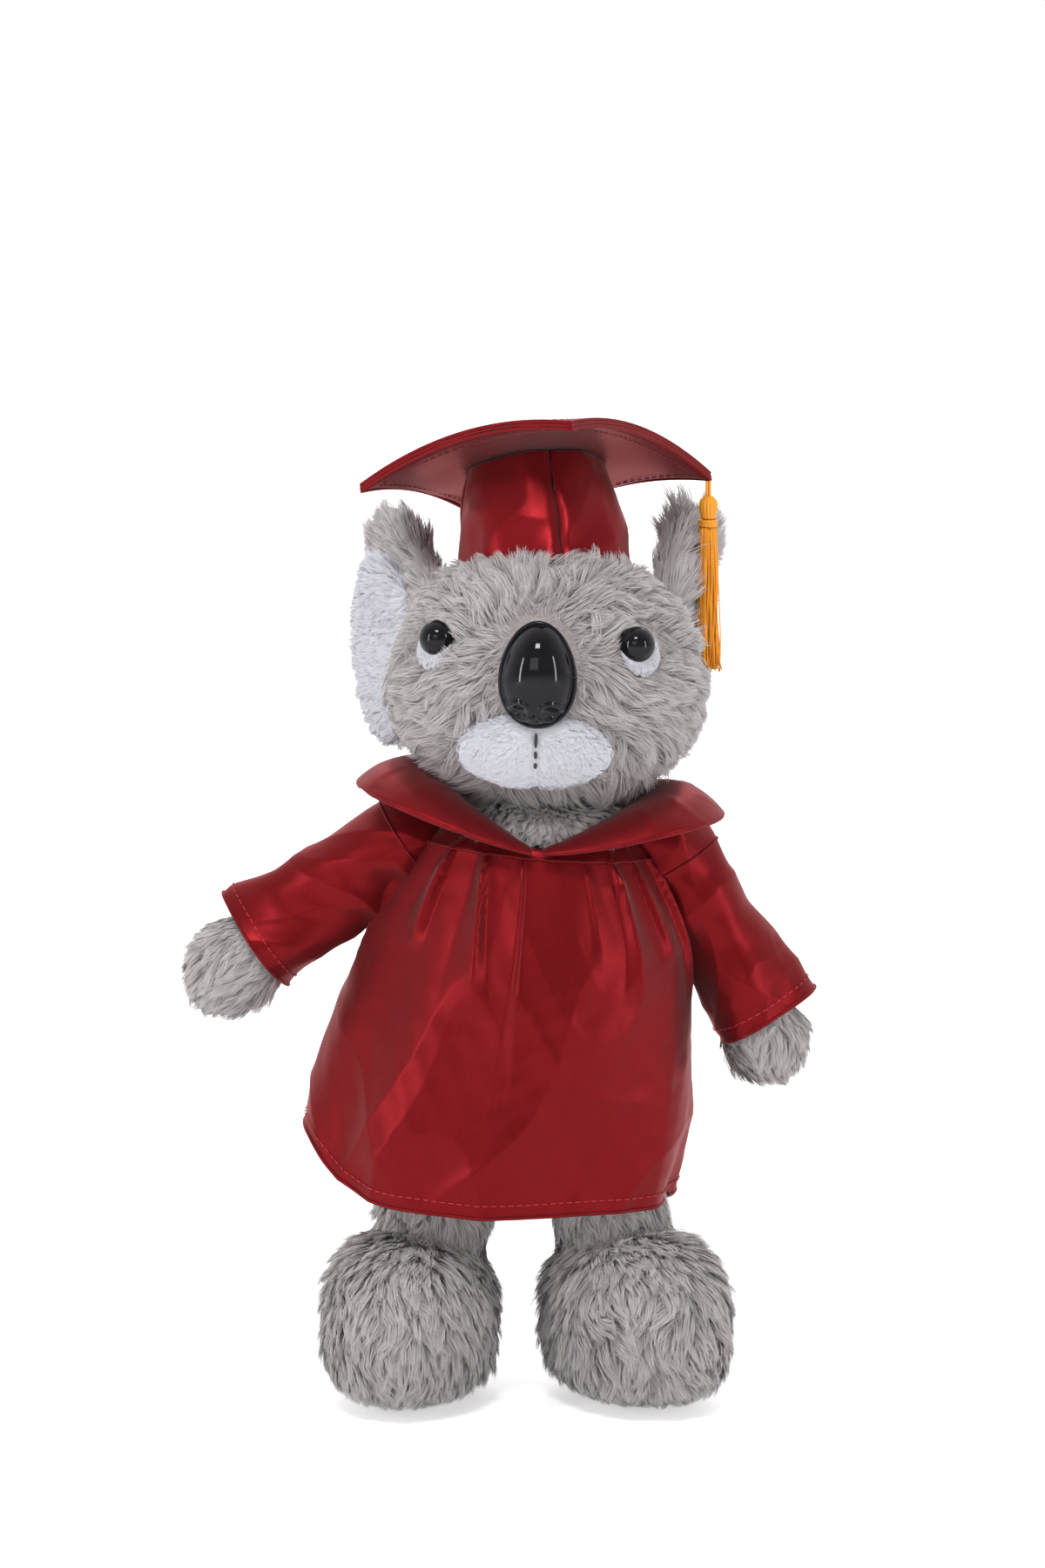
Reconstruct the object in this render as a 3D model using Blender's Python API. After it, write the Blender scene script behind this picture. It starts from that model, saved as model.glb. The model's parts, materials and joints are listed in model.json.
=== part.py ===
"""Plush koala in a satin graduation gown and cap, as separate sewn and fitted pieces.

Lengths are metres and angles are degrees. The toy stands on Z = 0, faces -Y,
and its left side is +X. The origin is the bottom centre of its bounding box.
"""

import math

import bmesh
import bpy
from mathutils import Matrix, Vector

# Shared sizes
SEAM_GAP = 0.0003
SOCKET_GAP = 0.0004
SKIN = 0.0025
CLOTH = 0.0012
CUT_OVERRUN = 0.004
GUIDE_SIZE = 0.4

# Neck and head
NECK_X = 0.0075
NECK_HEIGHT = 0.208
NECK_BALL_RADIUS = 0.020
HEAD_WIDTH = 0.105
HEAD_DEPTH = 0.092
HEAD_HEIGHT = 0.091
HEAD_RISE = 0.044
HEAD_CHEEK_SHARE = 0.07
HEAD_YAW = -4.2
HEAD_ROLL = 1.2
NECK_THREAD_RADIUS = 0.0211
NECK_THREAD_THICKNESS = 0.0018
NECK_THREAD_DROP = 0.0040

# Face
NOSE_WIDTH = 0.0250
NOSE_HEIGHT = 0.0350
NOSE_DEPTH = 0.0250
NOSE_RISE = 0.0060
NOSE_LEAN = 2.0
NOSE_TAPER_SHARE = 0.12
MUZZLE_WIDTH = 0.0530
MUZZLE_HEIGHT = 0.0300
MUZZLE_BULGE = 0.0150
MUZZLE_DROP = 0.0190
EYE_DIAMETER = 0.0125
EYE_SPREAD = 0.0330
EYE_RISE = 0.0150
EYE_SHIFT = -0.0015
EYE_SINK = 0.0012
EYE_PATCH_RADIUS = 0.0085
EYE_PATCH_THICKNESS = 0.0014
POST_RADIUS = 0.0020
NOSE_POST_RADIUS = 0.0025
POST_LENGTH = 0.0110
POST_ANCHOR = 0.0040
WASHER_RADIUS = 0.0060
NOSE_WASHER_RADIUS = 0.0080
WASHER_THICKNESS = 0.0012
WASHER_SEAT = 0.0020
MOUTH_STITCHES = 3
MOUTH_STITCH_LENGTH = 0.0040
MOUTH_STITCH_PITCH = 0.0056
MOUTH_THREAD = 0.0010
MOUTH_TOP_DROP = 0.0150

# Ears
EAR_HEIGHT = 0.082
EAR_REACH = 0.043
EAR_THICKNESS = 0.0085
EAR_LINING_THICKNESS = 0.0022
EAR_ROOT_RADIUS = 0.0050
EAR_ROOT_LENGTH = 0.042
EAR_SPREAD = 0.0375
EAR_BACK = 0.0310
EAR_RISE = 0.0090
EAR_LEFT_SWEEP = 76.0
EAR_RIGHT_SWEEP = 42.0
EAR_LEAN = 3.0
EAR_LINING_SHARE = 0.84
EAR_EDGE_SHARE = 0.12
EAR_TAPER_SHARE = 0.20
EAR_POINTS = 20
EAR_STEPS = 4

# Torso
TORSO_BOTTOM = 0.086
TORSO_TOP = 0.200
TORSO_WIDTH = 0.088
TORSO_DEPTH = 0.078
TORSO_LEAN = 0.004
TORSO_FOOT_X = 0.001
TORSO_HEIGHT_SHARES = (0.0, 0.05, 0.16, 0.34, 0.54, 0.72, 0.86, 0.95, 1.0)
TORSO_WIDTH_SHARES = (0.60, 0.80, 0.95, 1.0, 0.93, 0.80, 0.66, 0.54, 0.46)
TORSO_DEPTH_SHARES = (0.58, 0.80, 0.96, 1.0, 0.98, 0.88, 0.74, 0.60, 0.50)

# Arms
SHOULDER_SPREAD = 0.043
SHOULDER_X = 0.005
SHOULDER_HEIGHT = 0.196
ARM_BALL_RADIUS = 0.014
ARM_LENGTH = 0.092
ARM_RIGHT_DROP = 36.5
ARM_LEFT_DROP = 63.0
ARM_OPENING_RADIUS = 0.007
ARM_STATION_SHARES = (0.0, 0.03, 0.09, 0.152, 0.30, 0.50, 0.68, 0.82, 0.92, 0.98, 1.0)
ARM_RADIUS_SHARES = (0.20, 0.60, 0.92, 1.0, 0.93, 0.88, 0.94, 1.04, 0.90, 0.52, 0.16)

# Legs and feet
HIP_SPREAD = 0.0250
HIP_HEIGHT = 0.088
LEG_BALL_RADIUS = 0.0210
LEG_OPENING_RADIUS = 0.009
LEG_BOTTOM = 0.024
LEG_FORWARD = 0.0080
LEG_STATION_SHARES = (0.0, 0.05, 0.14, 0.25, 0.42, 0.65, 0.88, 1.0)
LEG_RADIUS_SHARES = (0.20, 0.62, 0.92, 1.0, 0.95, 0.90, 0.95, 0.60)
FOOT_WIDTH = 0.056
FOOT_LENGTH = 0.078
FOOT_HEIGHT = 0.052
FOOT_SPREAD = 0.0390
FOOT_FORWARD = 0.0150
FOOT_RIGHT_YAW = -10.0
FOOT_LEFT_YAW = 30.0
FOOT_POWER = 2.4
SOLE_POWER = 3.2
SOLE_CUT = 0.0005

# Gown
GOWN_EASE = 0.0040
GOWN_ROLL = 5.0
YOKE_SEAM_HEIGHT = 0.1935
YOKE_NECK_RADIUS = 0.0230
NECKLINE_TIP = 0.1960
NECKLINE_WIDTH = 0.060
SLEEVE_RADIUS = 0.0160
SLEEVE_LENGTH = 0.0620
SLEEVE_DOME_ANGLES = (38.0, 58.0, 78.0)
SLEEVE_STATION_SHARES = (0.12, 0.40, 0.70, 1.0)
SLEEVE_WIDTH_SHARES = (1.0, 0.98, 1.04, 1.14)
SKIRT_WIDTH = 0.1330
SKIRT_DEPTH = 0.1030
SKIRT_HEM = 0.0790
SKIRT_HEM_SIDE_RISE = 0.0120
SKIRT_HEM_DIP = 0.0060
SKIRT_SHIFT = -0.0150
SKIRT_STATION_SHARES = (0.0, 0.10, 0.26, 0.48, 0.74, 1.0)
SKIRT_WIDTH_SHARES = (0.63, 0.71, 0.83, 0.93, 0.99, 1.0)
SKIRT_DEPTH_SHARES = (0.68, 0.77, 0.88, 0.95, 0.98, 1.0)
SKIRT_SHIFT_SHARES = (0.0, 0.02, 0.11, 0.38, 0.75, 1.0)
SKIRT_FOLDS = 8
SKIRT_FOLD_DEPTH = 0.0026
SKIRT_FOLD_TOP_SHARE = 0.25
SKIRT_SEGMENTS = 40
COLLAR_REACH = 0.063
COLLAR_ANGLES = (7, 30, 60, 90, 120, 150, 180)
COLLAR_INNER_SHARES = (0.59, 0.53, 0.47, 0.445, 0.42, 0.41, 0.41)
COLLAR_OUTER_SHARES = (0.64, 0.74, 0.95, 1.0, 0.92, 0.80, 0.76)
COLLAR_HEIGHT = 0.0160
COLLAR_BASE = 0.1960
COLLAR_INNER_RISE_SHARES = (0.10, 0.38, 0.70, 0.78, 0.80, 0.80, 0.80)
COLLAR_ARCH_RISE_SHARES = (0.08, 0.44, 1.15, 1.50, 1.42, 1.15, 1.00)
COLLAR_OUTER_RISE_SHARES = (0.02, 0.28, 0.70, 0.80, 0.74, 0.62, 0.55)
TAPE_WIDTH = 0.008
TAPE_HEIGHT = 0.006
TAPE_THICKNESS = 0.0010
BACK_SLIT = 0.0006

# Cap and tassel
CAP_X = -0.0020
CAP_BACK = 0.0113
CAP_RISE = 0.0338
CAP_TILT = 22.0
CAP_ROLL = -7.9
CAP_YAW = 13.7
CROWN_RADIUS = 0.0300
CROWN_TOP_RADIUS = 0.0245
CROWN_HEIGHT = 0.0364
CROWN_SKIRT = 0.0060
CROWN_BULGE_SHARE = 0.04
CROWN_STATION_SHARES = (0.0, 0.25, 0.50, 0.75, 1.0)
CROWN_STEPS = 6
CROWN_PANELS = 4
BOARD_GAP = 0.0005
BOARD_SIDE = 0.0880
BOARD_LIFT = 0.0033
BOARD_DROOP = 0.0095
BOARD_THICKNESS = 0.0036
BOARD_RIM = 0.0030
BOARD_CELLS = 8
TASSEL_INSET = 0.0015
TASSEL_THREAD = 0.0018
TASSEL_LOOP_LENGTH = 0.0040
TASSEL_HEAD_RADIUS = 0.0031
TASSEL_HEAD_HEIGHT = 0.0080
TASSEL_BINDING_HEIGHT = 0.0022
TASSEL_BINDING_RADIUS = 0.0033
TASSEL_TOP_RADIUS = 0.0027
TASSEL_BOTTOM_RADIUS = 0.0042
TASSEL_LENGTH = 0.0520
TASSEL_LOOP_ANGLES = (25.0, 55.0, 90.0)
TASSEL_HEAD_STATION_SHARES = (0.0, 0.15, 0.45, 0.80, 1.0)
TASSEL_HEAD_WIDTH_SHARES = (0.45, 0.80, 1.0, 0.85, 0.75)
TASSEL_BINDING_STATION_SHARES = (0.0, 0.30, 0.70, 1.0)
TASSEL_BINDING_WIDTH_SHARES = (0.85, 1.0, 1.0, 0.85)
TASSEL_STATION_SHARES = (0.0, 0.12, 0.50, 1.0)
TASSEL_FLUTE_SHARE = 0.86
TASSEL_FLUTES = 8
TASSEL_POINTS = 12

SIDES = {"left": 1, "right": -1}


def clear_scene():
    """Remove every object that the file opened with."""
    for item in list(bpy.data.objects):
        bpy.data.objects.remove(item, do_unlink=True)


def material(name, colour, roughness, metallic=0.0):
    """A plain Principled material."""
    made = bpy.data.materials.new(name)
    made.use_nodes = True
    shader = made.node_tree.nodes["Principled BSDF"]
    shader.inputs["Base Color"].default_value = (*colour, 1.0)
    shader.inputs["Roughness"].default_value = roughness
    shader.inputs["Metallic"].default_value = metallic
    made.diffuse_color = (*colour, 1.0)
    return made


def fur(name):
    return material(name, (0.43, 0.41, 0.40), 0.95)


def fleece(name):
    return material(name, (0.86, 0.86, 0.88), 0.95)


def satin(name):
    return material(name, (0.33, 0.012, 0.02), 0.35)


def stuffing(name):
    return material(name, (0.9, 0.9, 0.88), 1.0)


def black_plastic(name):
    return material(name, (0.01, 0.01, 0.012), 0.08)


def washer_plastic(name):
    return material(name, (0.8, 0.8, 0.78), 0.5)


def black_thread(name):
    return material(name, (0.02, 0.02, 0.02), 0.8)


def grey_thread(name):
    return material(name, (0.3, 0.29, 0.28), 0.8)


def red_tape(name):
    return material(name, (0.25, 0.01, 0.02), 0.9)


def card(name):
    return material(name, (0.55, 0.45, 0.33), 0.9)


def yellow_yarn(name):
    return material(name, (1.0, 0.42, 0.03), 0.6)


def empty(name, location, rotation=(0, 0, 0), parent=None):
    """A plain axes empty that carries a group of pieces."""
    made = bpy.data.objects.new(name, None)
    bpy.context.collection.objects.link(made)
    made.location = location
    made.rotation_euler = [math.radians(angle) for angle in rotation]
    made.parent = parent
    return made


def add_piece(name, mesh, look=None, parent=None):
    """An object for one piece, with its own material."""
    made = bpy.data.objects.new(name, mesh)
    bpy.context.collection.objects.link(made)
    made.parent = parent
    if look:
        mesh.materials.append(look(name))
    mesh.shade_smooth()
    return made


def guide(made):
    """Mark an object as a cutter, which is no piece of the toy."""
    made.hide_render = True
    made.display_type = "WIRE"
    return made


def boolean(piece, cutter, operation="DIFFERENCE"):
    """Cut, join or keep a piece by a guide."""
    step = piece.modifiers.new(f"{operation.lower()}_{cutter.name}"[:60], "BOOLEAN")
    step.operation = operation
    step.solver = "EXACT"
    step.object = cutter
    return step


def mesh_from_bmesh(name, shape):
    """Turn a bmesh with outward faces into a mesh."""
    bmesh.ops.recalc_face_normals(shape, faces=shape.faces)
    made = bpy.data.meshes.new(name)
    shape.to_mesh(made)
    shape.free()
    return made


def lofted(name, rings):
    """A closed mesh through rings of equal count, with flat ends."""
    shape = bmesh.new()
    rows = [[shape.verts.new(point) for point in ring] for ring in rings]
    count = len(rings[0])
    for lower, upper in zip(rows, rows[1:]):
        for here in range(count):
            there = (here + 1) % count
            shape.faces.new((lower[here], lower[there], upper[there], upper[here]))
    shape.faces.new(rows[0])
    shape.faces.new(rows[-1])
    return mesh_from_bmesh(name, shape)


def looped(name, rings):
    """A closed mesh through rings that come back to the first ring."""
    shape = bmesh.new()
    rows = [[shape.verts.new(point) for point in ring] for ring in rings]
    count = len(rings[0])
    for lower, upper in zip(rows, rows[1:] + rows[:1]):
        for here in range(count):
            there = (here + 1) % count
            shape.faces.new((lower[here], lower[there], upper[there], upper[here]))
    return mesh_from_bmesh(name, shape)


def ring(centre, half_x, half_y, count, power=2.0):
    """Points round a level superellipse."""
    points = []
    for step in range(count):
        angle = math.tau * step / count
        across = math.cos(angle)
        along = math.sin(angle)
        x = math.copysign(abs(across) ** (2.0 / power), across)
        y = math.copysign(abs(along) ** (2.0 / power), along)
        points.append(Vector((centre[0] + half_x * x, centre[1] + half_y * y, centre[2])))
    return points


def share_at(place, stations, shares):
    """Read a table of shares at a place between its stations."""
    if place <= stations[0]:
        return shares[0]
    for low, high, first, last in zip(stations, stations[1:], shares, shares[1:]):
        if place <= high:
            along = (place - low) / (high - low)
            return first + (last - first) * along
    return shares[-1]


def ball(name, radius, segments=16, rings=10):
    """A round ball about the origin."""
    shape = bmesh.new()
    bmesh.ops.create_uvsphere(shape, u_segments=segments, v_segments=rings, radius=radius)
    return mesh_from_bmesh(name, shape)


def room_ball(name, radius, gap):
    """A ball of flat faces that all stay a gap clear of a true ball."""
    segments = 18
    rings = 11
    slack = math.cos(math.pi / segments) * math.cos(math.pi / rings / 2)
    return ball(name, (radius + gap) / slack, segments, rings)


def ellipsoid(name, half_x, half_y, half_z, segments, rings):
    """An ellipsoid about the origin."""
    made = ball(name, 1.0, segments, rings)
    made.transform(Matrix.Diagonal((half_x, half_y, half_z, 1.0)))
    return made


def rod(name, radius, start, end, segments=16):
    """A round rod from one point to another."""
    start = Vector(start)
    end = Vector(end)
    shape = bmesh.new()
    bmesh.ops.create_cone(
        shape,
        cap_ends=True,
        segments=segments,
        radius1=radius,
        radius2=radius,
        depth=(end - start).length,
    )
    turn = (end - start).to_track_quat("Z", "Y").to_matrix().to_4x4()
    shape.transform(Matrix.Translation((start + end) / 2) @ turn)
    return mesh_from_bmesh(name, shape)


def block(name, low, high):
    """A box between two corners."""
    shape = bmesh.new()
    bmesh.ops.create_cube(shape, size=1.0)
    low = Vector(low)
    high = Vector(high)
    size = high - low
    shape.transform(Matrix.Translation((low + high) / 2) @ Matrix.Diagonal((*size, 1.0)))
    return mesh_from_bmesh(name, shape)


def tube_between(name, outer, inner):
    """A wall between two stacks of rings, open at both ends."""
    return looped(name, list(outer) + list(reversed(inner)))


# Head


def head_half_width(height):
    """Half the head's width share at a height share from -1 to 1."""
    return 1.0 - HEAD_CHEEK_SHARE * height


def head_form(name, grow, segments=22, rings=13):
    """The head's swollen outline, grown or shrunk all round."""
    half_x = HEAD_WIDTH / 2 + grow
    half_y = HEAD_DEPTH / 2 + grow
    half_z = HEAD_HEIGHT / 2 + grow
    made = ellipsoid(name, half_x, half_y, half_z, segments, rings)
    for point in made.vertices:
        point.co.x *= head_half_width(point.co.z / half_z)
        point.co.z += HEAD_RISE
    return made


def on_head(x, rise, grow=0.0):
    """The point of the head's front surface at a place, and the way out of it there."""
    half_x = (HEAD_WIDTH / 2 + grow) * head_half_width(rise / (HEAD_HEIGHT / 2))
    half_y = HEAD_DEPTH / 2 + grow
    half_z = HEAD_HEIGHT / 2 + grow
    depth = half_y * math.sqrt(1.0 - (x / half_x) ** 2 - (rise / half_z) ** 2)
    out = Vector((x / half_x**2, -depth / half_y**2, rise / half_z**2)).normalized()
    return Vector((x, -depth, rise + HEAD_RISE)), out


def washer(name, radius, bore, centre, out, parent):
    """A lock washer pressed on a post inside the head."""
    half = out * (WASHER_THICKNESS / 2)
    piece = add_piece(name, rod(name, radius, centre - half, centre + half), washer_plastic, parent)
    span = out * (WASHER_THICKNESS + CUT_OVERRUN)
    hole = guide(add_piece(f"{name}_bore_guide", rod("bore", bore, centre - span, centre + span)))
    hole.parent = parent
    boolean(piece, hole)
    return piece


def post_set(name, washer_name, surface, out, post_radius, washer_radius, parent, skin, filling):
    """The post guide of an eye or the nose, its holes and its washer."""
    end = surface - out * POST_LENGTH
    start = surface + out * POST_ANCHOR
    post = guide(add_piece(f"{name}_post_guide", rod("post", post_radius, end, start), None, parent))
    reach = out * CUT_OVERRUN
    hole_mesh = rod("hole", post_radius + SEAM_GAP, end, surface + reach)
    hole = guide(add_piece(f"{name}_hole_guide", hole_mesh, None, parent))
    boolean(skin, hole)
    pocket_end = end - out * SEAM_GAP
    pocket_start = surface - out * SKIN / 2
    pocket_mesh = rod("pocket", washer_radius + SEAM_GAP, pocket_end, pocket_start)
    pocket = guide(add_piece(f"{name}_pocket_guide", pocket_mesh, None, parent))
    boolean(filling, pocket)
    seat = surface - out * (SKIN + WASHER_SEAT + WASHER_THICKNESS / 2)
    washer(washer_name, washer_radius, post_radius + SEAM_GAP / 2, seat, out, parent)
    return post, hole


def build_eye(side, frame, guides, skin, filling):
    """A domed eye on its fleece patch, with its post and washer."""
    sign = SIDES[side]
    surface, out = on_head(EYE_SHIFT + sign * EYE_SPREAD, EYE_RISE)
    washer_name = f"eye_washer_{side}"
    radii = (POST_RADIUS, WASHER_RADIUS)
    post, hole = post_set(f"eye_{side}", washer_name, surface, out, *radii, frame, skin, filling)
    patch_name = f"eye_patch_{side}"
    reach = out * (SKIN + CUT_OVERRUN)
    patch_mesh = rod(patch_name, EYE_PATCH_RADIUS, surface - reach, surface + reach, 20)
    patch = add_piece(patch_name, patch_mesh, fleece, frame)
    boolean(patch, guides["patch_outside"], "INTERSECT")
    boolean(patch, guides["head_outside"])
    boolean(patch, hole)
    name = f"eye_{side}"
    dome = add_piece(name, ball(name, EYE_DIAMETER / 2, 16, 10), black_plastic, frame)
    dome.data.transform(Matrix.Translation(surface + out * EYE_SINK))
    boolean(dome, guides["patch_seat"])
    boolean(dome, post, "UNION")
    return dome


def nose_form(name, grow):
    """The egg outline of the moulded nose."""
    made = ellipsoid(
        name,
        NOSE_WIDTH / 2 + grow,
        NOSE_DEPTH / 2 + grow,
        NOSE_HEIGHT / 2 + grow,
        16,
        10,
    )
    for point in made.vertices:
        point.co.x *= 1.0 - NOSE_TAPER_SHARE * point.co.z / (NOSE_HEIGHT / 2)
    surface, _ = on_head(0.0, NOSE_RISE)
    turn = Matrix.Rotation(math.radians(NOSE_LEAN), 4, "Y")
    made.transform(Matrix.Translation(surface) @ turn)
    return made


def build_face(frame, guides, skin, filling):
    """Nose, muzzle patch, mouth stitches and eyes."""
    surface, out = on_head(0.0, NOSE_RISE)
    radii = (NOSE_POST_RADIUS, NOSE_WASHER_RADIUS)
    post, _ = post_set("nose", "nose_washer", surface, out, *radii, frame, skin, filling)
    nose = add_piece("nose", nose_form("nose", 0.0), black_plastic, frame)
    boolean(nose, guides["head_outside"])
    boolean(nose, post, "UNION")
    nose_room = guide(add_piece("nose_room_guide", nose_form("nose_room", SEAM_GAP), None, frame))
    middle, _ = on_head(0.0, -MUZZLE_DROP)
    muzzle_mesh = ellipsoid("muzzle_patch", MUZZLE_WIDTH / 2, MUZZLE_BULGE / 2, MUZZLE_HEIGHT / 2, 18, 10)
    muzzle_mesh.transform(Matrix.Translation(middle))
    muzzle = add_piece("muzzle_patch", muzzle_mesh, fleece, frame)
    boolean(muzzle, guides["head_outside"])
    boolean(muzzle, nose_room)
    for number in range(MOUTH_STITCHES):
        name = f"mouth_stitch_{number + 1}"
        drop = MOUTH_TOP_DROP + MOUTH_STITCH_PITCH * number
        share = (drop - MUZZLE_DROP) / (MUZZLE_HEIGHT / 2)
        bulge = MUZZLE_BULGE / 2 * math.sqrt(1.0 - share**2)
        slope = math.atan2(share * MUZZLE_BULGE, MUZZLE_HEIGHT * math.sqrt(1.0 - share**2))
        front = middle.y - bulge - (SEAM_GAP + MOUTH_THREAD / 2) / math.cos(slope)
        stitch = ellipsoid(name, MOUTH_THREAD / 2, MOUTH_THREAD / 2, MOUTH_STITCH_LENGTH / 2, 8, 8)
        stitch.transform(Matrix.Rotation(slope, 4, "X"))
        stitch.transform(Matrix.Translation((0.0, front, HEAD_RISE - drop)))
        add_piece(name, stitch, black_thread, frame)
    for side in SIDES:
        build_eye(side, frame, guides, skin, filling)


def ear_outline(name, grow, front, back):
    """A rounded ear pad that reaches out along +X, with its front face at -Y."""
    rings = []
    half_reach = EAR_REACH / 2
    for step in range(EAR_STEPS + 1):
        turn = math.pi * step / EAR_STEPS
        depth = -math.cos(turn)
        y = (front + back) / 2 + (back - front) / 2 * depth
        swell = 1.0 - EAR_EDGE_SHARE * (1.0 - math.sin(turn))
        points = []
        for place in range(EAR_POINTS):
            angle = math.tau * place / EAR_POINTS
            x = half_reach + (half_reach + grow) * math.cos(angle) * swell
            z = (EAR_HEIGHT / 2 + grow) * math.sin(angle) * swell
            z *= 1.0 - EAR_TAPER_SHARE * (1.0 - min(1.0, x / half_reach))
            points.append(Vector((x, y, z)))
        rings.append(points)
    return lofted(name, rings)


def build_ear(side, head, guides, skin, filling):
    """A swept back ear with its fleece lining, which folds about its sewn root."""
    sign = SIDES[side]
    place = (sign * EAR_SPREAD, EAR_BACK, HEAD_RISE + EAR_RISE)
    frame = empty(f"ear_{side}_frame", place, (0, sign * EAR_LEAN, 0), head)
    sweep = EAR_LEFT_SWEEP if side == "left" else EAR_RIGHT_SWEEP
    turn = Matrix.Rotation(sign * math.radians(sweep), 4, "Z")
    mirror = Matrix.Diagonal((sign, 1.0, 1.0, 1.0))
    half = EAR_THICKNESS / 2

    def placed(mesh):
        mesh.transform(turn @ mirror)
        if sign < 0:
            mesh.flip_normals()
        return mesh

    root_high = Vector((0, 0, EAR_ROOT_LENGTH / 2))
    gap = Vector((0, 0, SEAM_GAP))
    name = f"ear_{side}"
    ear = add_piece(name, placed(ear_outline(name, 0.0, -half, half)), fur, frame)
    root_mesh = rod("root", EAR_ROOT_RADIUS, -root_high, root_high)
    root = guide(add_piece(f"{name}_root_guide", root_mesh, None, frame))
    boolean(ear, root, "UNION")
    room_mesh = rod("groove", EAR_ROOT_RADIUS + SEAM_GAP, -root_high - gap, root_high + gap)
    groove = guide(add_piece(f"{name}_groove_guide", room_mesh, None, frame))
    boolean(skin, groove)
    boolean(filling, groove)
    lining_name = f"ear_lining_{side}"
    shrink = -EAR_HEIGHT * (1.0 - EAR_LINING_SHARE) / 2
    front = -half - SEAM_GAP - EAR_LINING_THICKNESS
    lining_mesh = placed(ear_outline(lining_name, shrink, front, -half - SEAM_GAP))
    add_piece(lining_name, lining_mesh, fleece, frame)
    return frame


def build_head(root):
    """The head, everything on its face and its ears."""
    head = empty("head_frame", (NECK_X, 0, NECK_HEIGHT), (0, HEAD_ROLL, HEAD_YAW), root)
    skin = add_piece("head_skin", head_form("head_skin", 0.0), fur, head)
    hollow = guide(add_piece("head_hollow_guide", head_form("hollow", -SKIN), None, head))
    pocket_mesh = room_ball("pocket", NECK_BALL_RADIUS, SEAM_GAP)
    pocket = guide(add_piece("head_pocket_guide", pocket_mesh, None, head))
    filling = add_piece("head_stuffing", head_form("head_stuffing", -SKIN - SEAM_GAP), stuffing, head)
    boolean(skin, hollow)
    boolean(skin, pocket)
    boolean(filling, pocket)
    patch_top = SEAM_GAP + EYE_PATCH_THICKNESS
    sizes = {"head_outside": SEAM_GAP, "patch_outside": patch_top, "patch_seat": patch_top + SEAM_GAP}
    guides = {}
    for name, grow in sizes.items():
        guides[name] = guide(add_piece(f"{name}_guide", head_form(name, grow), None, head))
    build_face(head, guides, skin, filling)
    for side in SIDES:
        build_ear(side, head, guides, skin, filling)
    return head, guides


def build_neck_thread(root):
    """The ring of thread that closes the neck seam."""
    frame = empty("neck_frame", (NECK_X, 0, NECK_HEIGHT), (0, 0, 0), root)
    rings = []
    half = NECK_THREAD_THICKNESS / 2
    sides = 6
    count = 20
    for step in range(sides):
        angle = math.tau * step / sides
        radius = NECK_THREAD_RADIUS + half * math.cos(angle)
        height = -NECK_THREAD_DROP + half * math.sin(angle)
        rings.append(ring((0, 0, height), radius, radius, count))
    add_piece("neck_seam_thread", looped("neck_seam_thread", rings), grey_thread, frame)
    return frame


# Torso and limbs


def torso_form(name, grow, count=20):
    """The pear outline of the body, grown or shrunk all round."""
    rings = []
    top = TORSO_TOP + grow
    bottom = TORSO_BOTTOM - grow
    table = zip(TORSO_HEIGHT_SHARES, TORSO_WIDTH_SHARES, TORSO_DEPTH_SHARES)
    for height, width, depth in table:
        centre = (TORSO_FOOT_X + TORSO_LEAN * height, 0.0, bottom + (top - bottom) * height)
        rings.append(ring(centre, TORSO_WIDTH / 2 * width + grow, TORSO_DEPTH / 2 * depth + grow, count))
    return lofted(name, rings)


def arm_form(name, grow, count=12):
    """The arm's outline along -Z from the ball about its shoulder."""
    rings = []
    top = ARM_BALL_RADIUS + grow
    bottom = -ARM_LENGTH - grow
    for station, share in zip(ARM_STATION_SHARES, ARM_RADIUS_SHARES):
        height = top + (bottom - top) * station
        radius = max(ARM_BALL_RADIUS * share + grow, ARM_BALL_RADIUS * ARM_RADIUS_SHARES[0] / 2)
        rings.append(ring((0, 0, height), radius, radius, count))
    return lofted(name, rings)


def build_arm(side, root, torso_pieces):
    """One stuffed arm, about an empty at its shoulder."""
    sign = SIDES[side]
    drop = ARM_LEFT_DROP if side == "left" else ARM_RIGHT_DROP
    place = (SHOULDER_X + sign * SHOULDER_SPREAD, 0.0, SHOULDER_HEIGHT)
    frame = empty(f"arm_{side}_frame", place, (0, -sign * (90.0 - drop), 0), root)
    name = f"arm_skin_{side}"
    skin = add_piece(name, arm_form(name, 0.0), fur, frame)
    hollow = guide(add_piece(f"arm_{side}_hollow_guide", arm_form("hollow", -SKIN), None, frame))
    boolean(skin, hollow)
    opening_mesh = rod("opening", ARM_OPENING_RADIUS, (0, 0, 0), (0, 0, ARM_BALL_RADIUS + CUT_OVERRUN))
    opening = guide(add_piece(f"arm_{side}_opening_guide", opening_mesh, None, frame))
    boolean(skin, opening)
    filling_name = f"arm_stuffing_{side}"
    add_piece(filling_name, arm_form(filling_name, -SKIN - SEAM_GAP), stuffing, frame)
    socket_mesh = room_ball("socket", ARM_BALL_RADIUS, SOCKET_GAP)
    socket = guide(add_piece(f"arm_{side}_socket_guide", socket_mesh, None, frame))
    for piece in torso_pieces:
        boolean(piece, socket)
    return frame


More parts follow.
